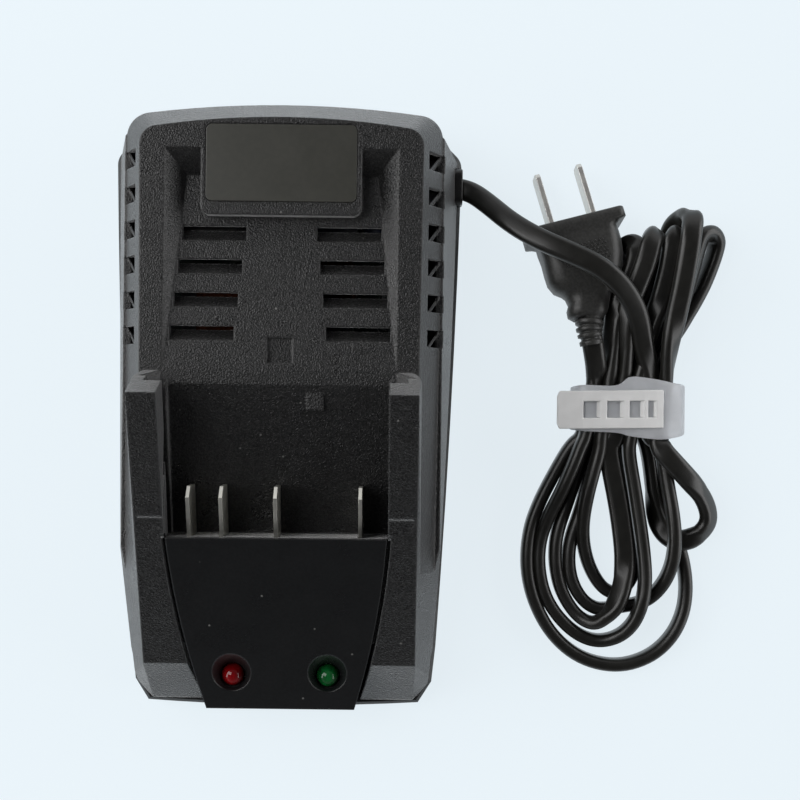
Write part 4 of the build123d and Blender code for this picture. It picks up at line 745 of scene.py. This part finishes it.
def build_rail_web(side, name):
    profile = (
        (rail_front(WEB_FOOT) + WEB_INSET, WEB_FOOT),
        (rail_front(WEB_HEAD) + WEB_INSET, WEB_HEAD),
        (WEB_BACK, WEB_HEAD), (WEB_BACK, WEB_FOOT),
    )
    rings = [[to_metres((side * x, y, z)) for y, z in profile] for x in (WEB_INNER, WEB_OUTER)]
    if side < 0:
        rings.reverse()
    return make_piece(name, flatten(rings), skin(rings), "housing", False)


# --- Room ----------------------------------------------------------------------------
def math_node(tree, operation, source, other=None):
    """A Math node on a socket and, where other is given, a number."""
    node = tree.nodes.new("ShaderNodeMath")
    node.operation = operation
    tree.links.new(source, node.inputs[0])
    if other is not None:
        node.inputs[1].default_value = other
    return node


def mix_shaders(tree, share, first, second, output):
    """Send a mix of two shaders, by the share of the second, to the output."""
    mix = tree.nodes.new("ShaderNodeMixShader")
    for socket, place in ((share, "Fac"), (first, 1), (second, 2)):
        tree.links.new(socket, mix.inputs[place])
    tree.links.new(mix.outputs[0], tree.nodes[output].inputs["Surface"])


def seen_directly(tree):
    """1 for rays from the camera, off gloss and through glass, 0 for the light itself."""
    path = tree.nodes.new("ShaderNodeLightPath")
    total = path.outputs["Is Camera Ray"]
    for kind in ("Is Glossy Ray", "Is Transmission Ray"):
        add = math_node(tree, "ADD", total)
        add.use_clamp = True
        tree.links.new(path.outputs[kind], add.inputs[1])
        total = add.outputs[0]
    return total


def floor_material():
    material, tree, shader = new_material("floor")
    shader.inputs["Base Color"].default_value = (*BACKGROUND, 1.0)
    shader.inputs["Roughness"].default_value = FLOOR_ROUGHNESS
    shader.inputs["Specular IOR Level"].default_value = 0.0
    glow = add_node(tree, "ShaderNodeEmission", Color=(*BACKGROUND, 1.0), Strength=1.0)
    share = math_node(tree, "MULTIPLY", seen_directly(tree), FLOOR_GLOW)
    mix_shaders(tree, share.outputs[0], shader.outputs[0], glow.outputs[0], "Material Output")
    return material


def build_room():
    r = FLOOR_REACH
    corners = [(-r, -r, 0), (r, -r, 0), (r, r, 0), (-r, r, 0)]
    floor = make_mesh("floor", corners, [(0, 1, 2, 3)], False)
    floor.data.materials.append(floor_material())
    floor.location.z = -FLOOR_DROP


def area_light(name, place, size, energy):
    light = bpy.data.lights.new(name, "AREA")
    light.shape = "RECTANGLE"
    light.size, light.size_y = size
    light.energy = energy
    lamp = bpy.data.objects.new(name, light)
    lamp.location = place
    aim = Vector(LIGHTS_AIM) - Vector(place)
    lamp.rotation_euler = aim.to_track_quat("-Z", "Y").to_euler()
    bpy.context.scene.collection.objects.link(lamp)


def light_walls(tree):
    """Walls that are bright at the horizon, and darker overhead and towards the front."""
    room_light = tree.nodes["Background"]
    place = tree.nodes.new("ShaderNodeTexCoord")
    split = tree.nodes.new("ShaderNodeSeparateXYZ")
    tree.links.new(place.outputs["Generated"], split.inputs["Vector"])
    height = math_node(tree, "ABSOLUTE", split.outputs["Z"])
    walls = ramp(tree, height.outputs[0], *zip(*WALLS))
    tree.links.new(walls.outputs["Color"], room_light.inputs["Color"])
    front = add_node(tree, "ShaderNodeMapRange")
    for name, value in zip(("From Min", "From Max", "To Min", "To Max"), FRONT_SHADE):
        front.inputs[name].default_value = value
    tree.links.new(split.outputs["Y"], front.inputs["Value"])
    tree.links.new(front.outputs["Result"], room_light.inputs["Strength"])
    return room_light


def build_light():
    """A studio with a dark ceiling, pale walls and large soft panels round the object."""
    world = bpy.data.worlds.new("studio")
    bpy.context.scene.world = world
    world.use_nodes = True
    tree = world.node_tree
    room_light = light_walls(tree)
    backdrop = tree.nodes.new("ShaderNodeBackground")
    backdrop.inputs["Color"].default_value = (*BACKGROUND, 1.0)
    path = tree.nodes.new("ShaderNodeLightPath")
    seen = path.outputs["Is Camera Ray"]
    mix_shaders(tree, seen, room_light.outputs[0], backdrop.outputs[0], "World Output")
    for name, place, size, energy in LIGHTS:
        area_light(name, place, size, energy)


def build_camera():
    camera = bpy.data.cameras.new("camera")
    camera.lens = CAMERA_LENS
    camera.sensor_width = CAMERA_SENSOR
    camera.clip_start = CAMERA_CLIP
    holder = bpy.data.objects.new("camera", camera)
    holder.location = to_metres(CAMERA_PLACE)
    holder.rotation_euler = (0, 0, math.radians(CAMERA_TURN))
    bpy.context.scene.collection.objects.link(holder)
    bpy.context.scene.camera = holder


# --- Build ---------------------------------------------------------------------------
# Name, dark and light colour and roughness, then for a plastic its grain's scale and depth,
# and for a clear material its transmission.
MATERIALS = {
    # On the housing the pale speckle is partly the plastic's own tone and partly painted glints of
    # its grain.
    "housing": moulded("housing_plastic", grey(0.001), grey(0.018), 0.30, 2400.0, 0.00026,
                       rounding=0.0008, sheen=0.5, dust=0.7),
    "base": moulded("base_plastic", grey(0.002), grey(0.010), 0.36, 2300.0, 0.00006,
                    rounding=0.0006, sheen=0.2),
    "cover": moulded("cover_plastic", (0.004, 0.0045, 0.005), (0.006, 0.0065, 0.007), 0.30,
                     1600.0, 0.00002, rounding=0.0006, sheen=0.05, dust=0.7),
    "label": moulded("label_foil", (0.034, 0.034, 0.028), (0.038, 0.038, 0.031), 0.34,
                     700.0, 0.000003, rounding=0.0003),
    "cord": moulded("cord_pvc", (0.009, 0.0088, 0.0075), (0.012, 0.0117, 0.010), 0.33,
                    500.0, 0.000006, sheen=0.1),
    "plug": moulded("plug_pvc", (0.020, 0.020, 0.0185), (0.032, 0.032, 0.030), 0.42,
                    1800.0, 0.00003, rounding=0.0004, sheen=0.2),
    "nickel": metal("nickel_plate", (0.80, 0.79, 0.72), (0.84, 0.83, 0.76), 0.38),
    "blade": metal("plug_blade_plate", (0.62, 0.61, 0.58), (0.70, 0.69, 0.65), 0.45),
    "steel": metal("zinc_steel", (0.42, 0.42, 0.43), (0.60, 0.60, 0.61), 0.32),
    "aluminium": metal("sink_aluminium", (0.60, 0.61, 0.62), (0.74, 0.75, 0.76), 0.42),
    "copper": metal("lacquered_copper", (0.030, 0.010, 0.005), (0.060, 0.020, 0.010), 0.45,
                    1600.0),
    "red": clear("red_lens", (0.20, 0.002, 0.004), (0.30, 0.004, 0.006), 0.10, 0.25),
    "green": clear("green_lens", (0.004, 0.10, 0.02), (0.008, 0.17, 0.035), 0.10, 0.25),
    # The band and the strap are one polythene; the band is a darker, more see-through copy of it:
    # painted shade that shows through the strap's windows.
    "tie_band": clear("tie_band_polythene_painted_shade", (0.72, 0.74, 0.77), (0.78, 0.80, 0.83), 0.36, 0.45,
                      300.0),
    "tie_strap": clear("tie_strap_polythene", (0.86, 0.86, 0.85), (0.90, 0.90, 0.89), 0.32, 0.12,
                       300.0),
    "block": moulded("contact_block_plastic", grey(0.010), grey(0.016), 0.5, 1500.0, 0.00002,
                     rounding=0.0004),
    "board": moulded("board_laminate", (0.003, 0.012, 0.006), (0.005, 0.020, 0.009), 0.45,
                     900.0, 0.00001),
    "ferrite": moulded("ferrite", grey(0.030), grey(0.050), 0.6, 1600.0, 0.00003, rounding=0.0003),
    "sleeve": moulded("sleeve_black", grey(0.010), grey(0.018), 0.3, 900.0, 0.00001),
    "film": moulded("film_grey", (0.020, 0.022, 0.026), (0.030, 0.033, 0.038), 0.4,
                    900.0, 0.00001),
    "disc": moulded("disc_blue", (0.004, 0.010, 0.030), (0.006, 0.015, 0.045), 0.4,
                    900.0, 0.00001),
    "glass": clear("fuse_glass", (0.75, 0.78, 0.78), (0.85, 0.88, 0.88), 0.06, 0.8),
    "rubber": moulded("foot_rubber", grey(0.014), grey(0.024), 0.8, 1300.0, 0.00004),
    "holder": moulded("holder_white", (0.62, 0.62, 0.60), (0.74, 0.74, 0.72), 0.5, 900.0, 0.00001),
    "brown": moulded("wire_brown", (0.10, 0.035, 0.012), (0.15, 0.055, 0.020), 0.4, 900.0, 0.00001),
    "blue": moulded("wire_blue", (0.010, 0.05, 0.32), (0.016, 0.08, 0.44), 0.4, 900.0, 0.00001),
}
FINISHES = {
    "upper_shell": "housing", "lower_shell": "base", "front_cover": "cover",
    "label_plate": "label", "contact_blade_1": "nickel", "contact_blade_2": "nickel",
    "contact_blade_3": "nickel", "contact_blade_4": "nickel", "contact_block": "block",
    "circuit_board": "board", "red_lamp": "red", "green_lamp": "green", "lamp_holders": "holder",
    "transformer_core": "ferrite", "transformer_winding": "copper", "bulk_capacitor": "sleeve",
    "filter_capacitor": "film", "mains_choke": "copper", "mains_fuse": "glass",
    "bridge_rectifier": "sleeve", "heat_sink": "aluminium", "power_transistors": "sleeve",
    "output_capacitors": "sleeve", "output_coil": "copper", "controller_chip": "sleeve",
    "surge_absorber": "disc", "housing_screws": "steel", "board_screws": "steel",
    "rubber_feet": "rubber", "cord_bushing": "plug", "lead_sheath": "cord", "cord_clamp": "plug",
    "clamp_screws": "steel", "live_wire": "brown", "neutral_wire": "blue", "mains_cord": "cord",
    "cord_hank": "cord", "plug_body": "plug", "plug_blades": "nickel", "cord_tie": "tie_band",
}
for node, finish in FINISHES.items():
    paint(node, MATERIALS[finish])

lead, lead_line = build_lead()
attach(lead, BODY)
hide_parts("mains_cord", "cord_hank", "lead_sheath")
plug = build_plug()
plug_dots = build_plug_dots()
plug_contacts = build_plug_contacts()
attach(plug, BODY)
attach(plug_dots, BODY)
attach(plug_contacts, BODY)
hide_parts("plug_body")
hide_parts("plug_blades")
inlet = build_inlet()
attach(inlet, BODY)
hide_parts("cord_bushing")
tie_band = build_tie_band()
tie_strap = build_tie_strap()
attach(tie_band, BODY)
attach(tie_strap, BODY)
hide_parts("cord_tie")
for side, name in ((-1, "rail_web_left"), (1, "rail_web_right")):
    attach(build_rail_web(side, name), BODY)
build_room()
build_light()
build_camera()
bpy.context.scene.view_settings.view_transform = "Standard"
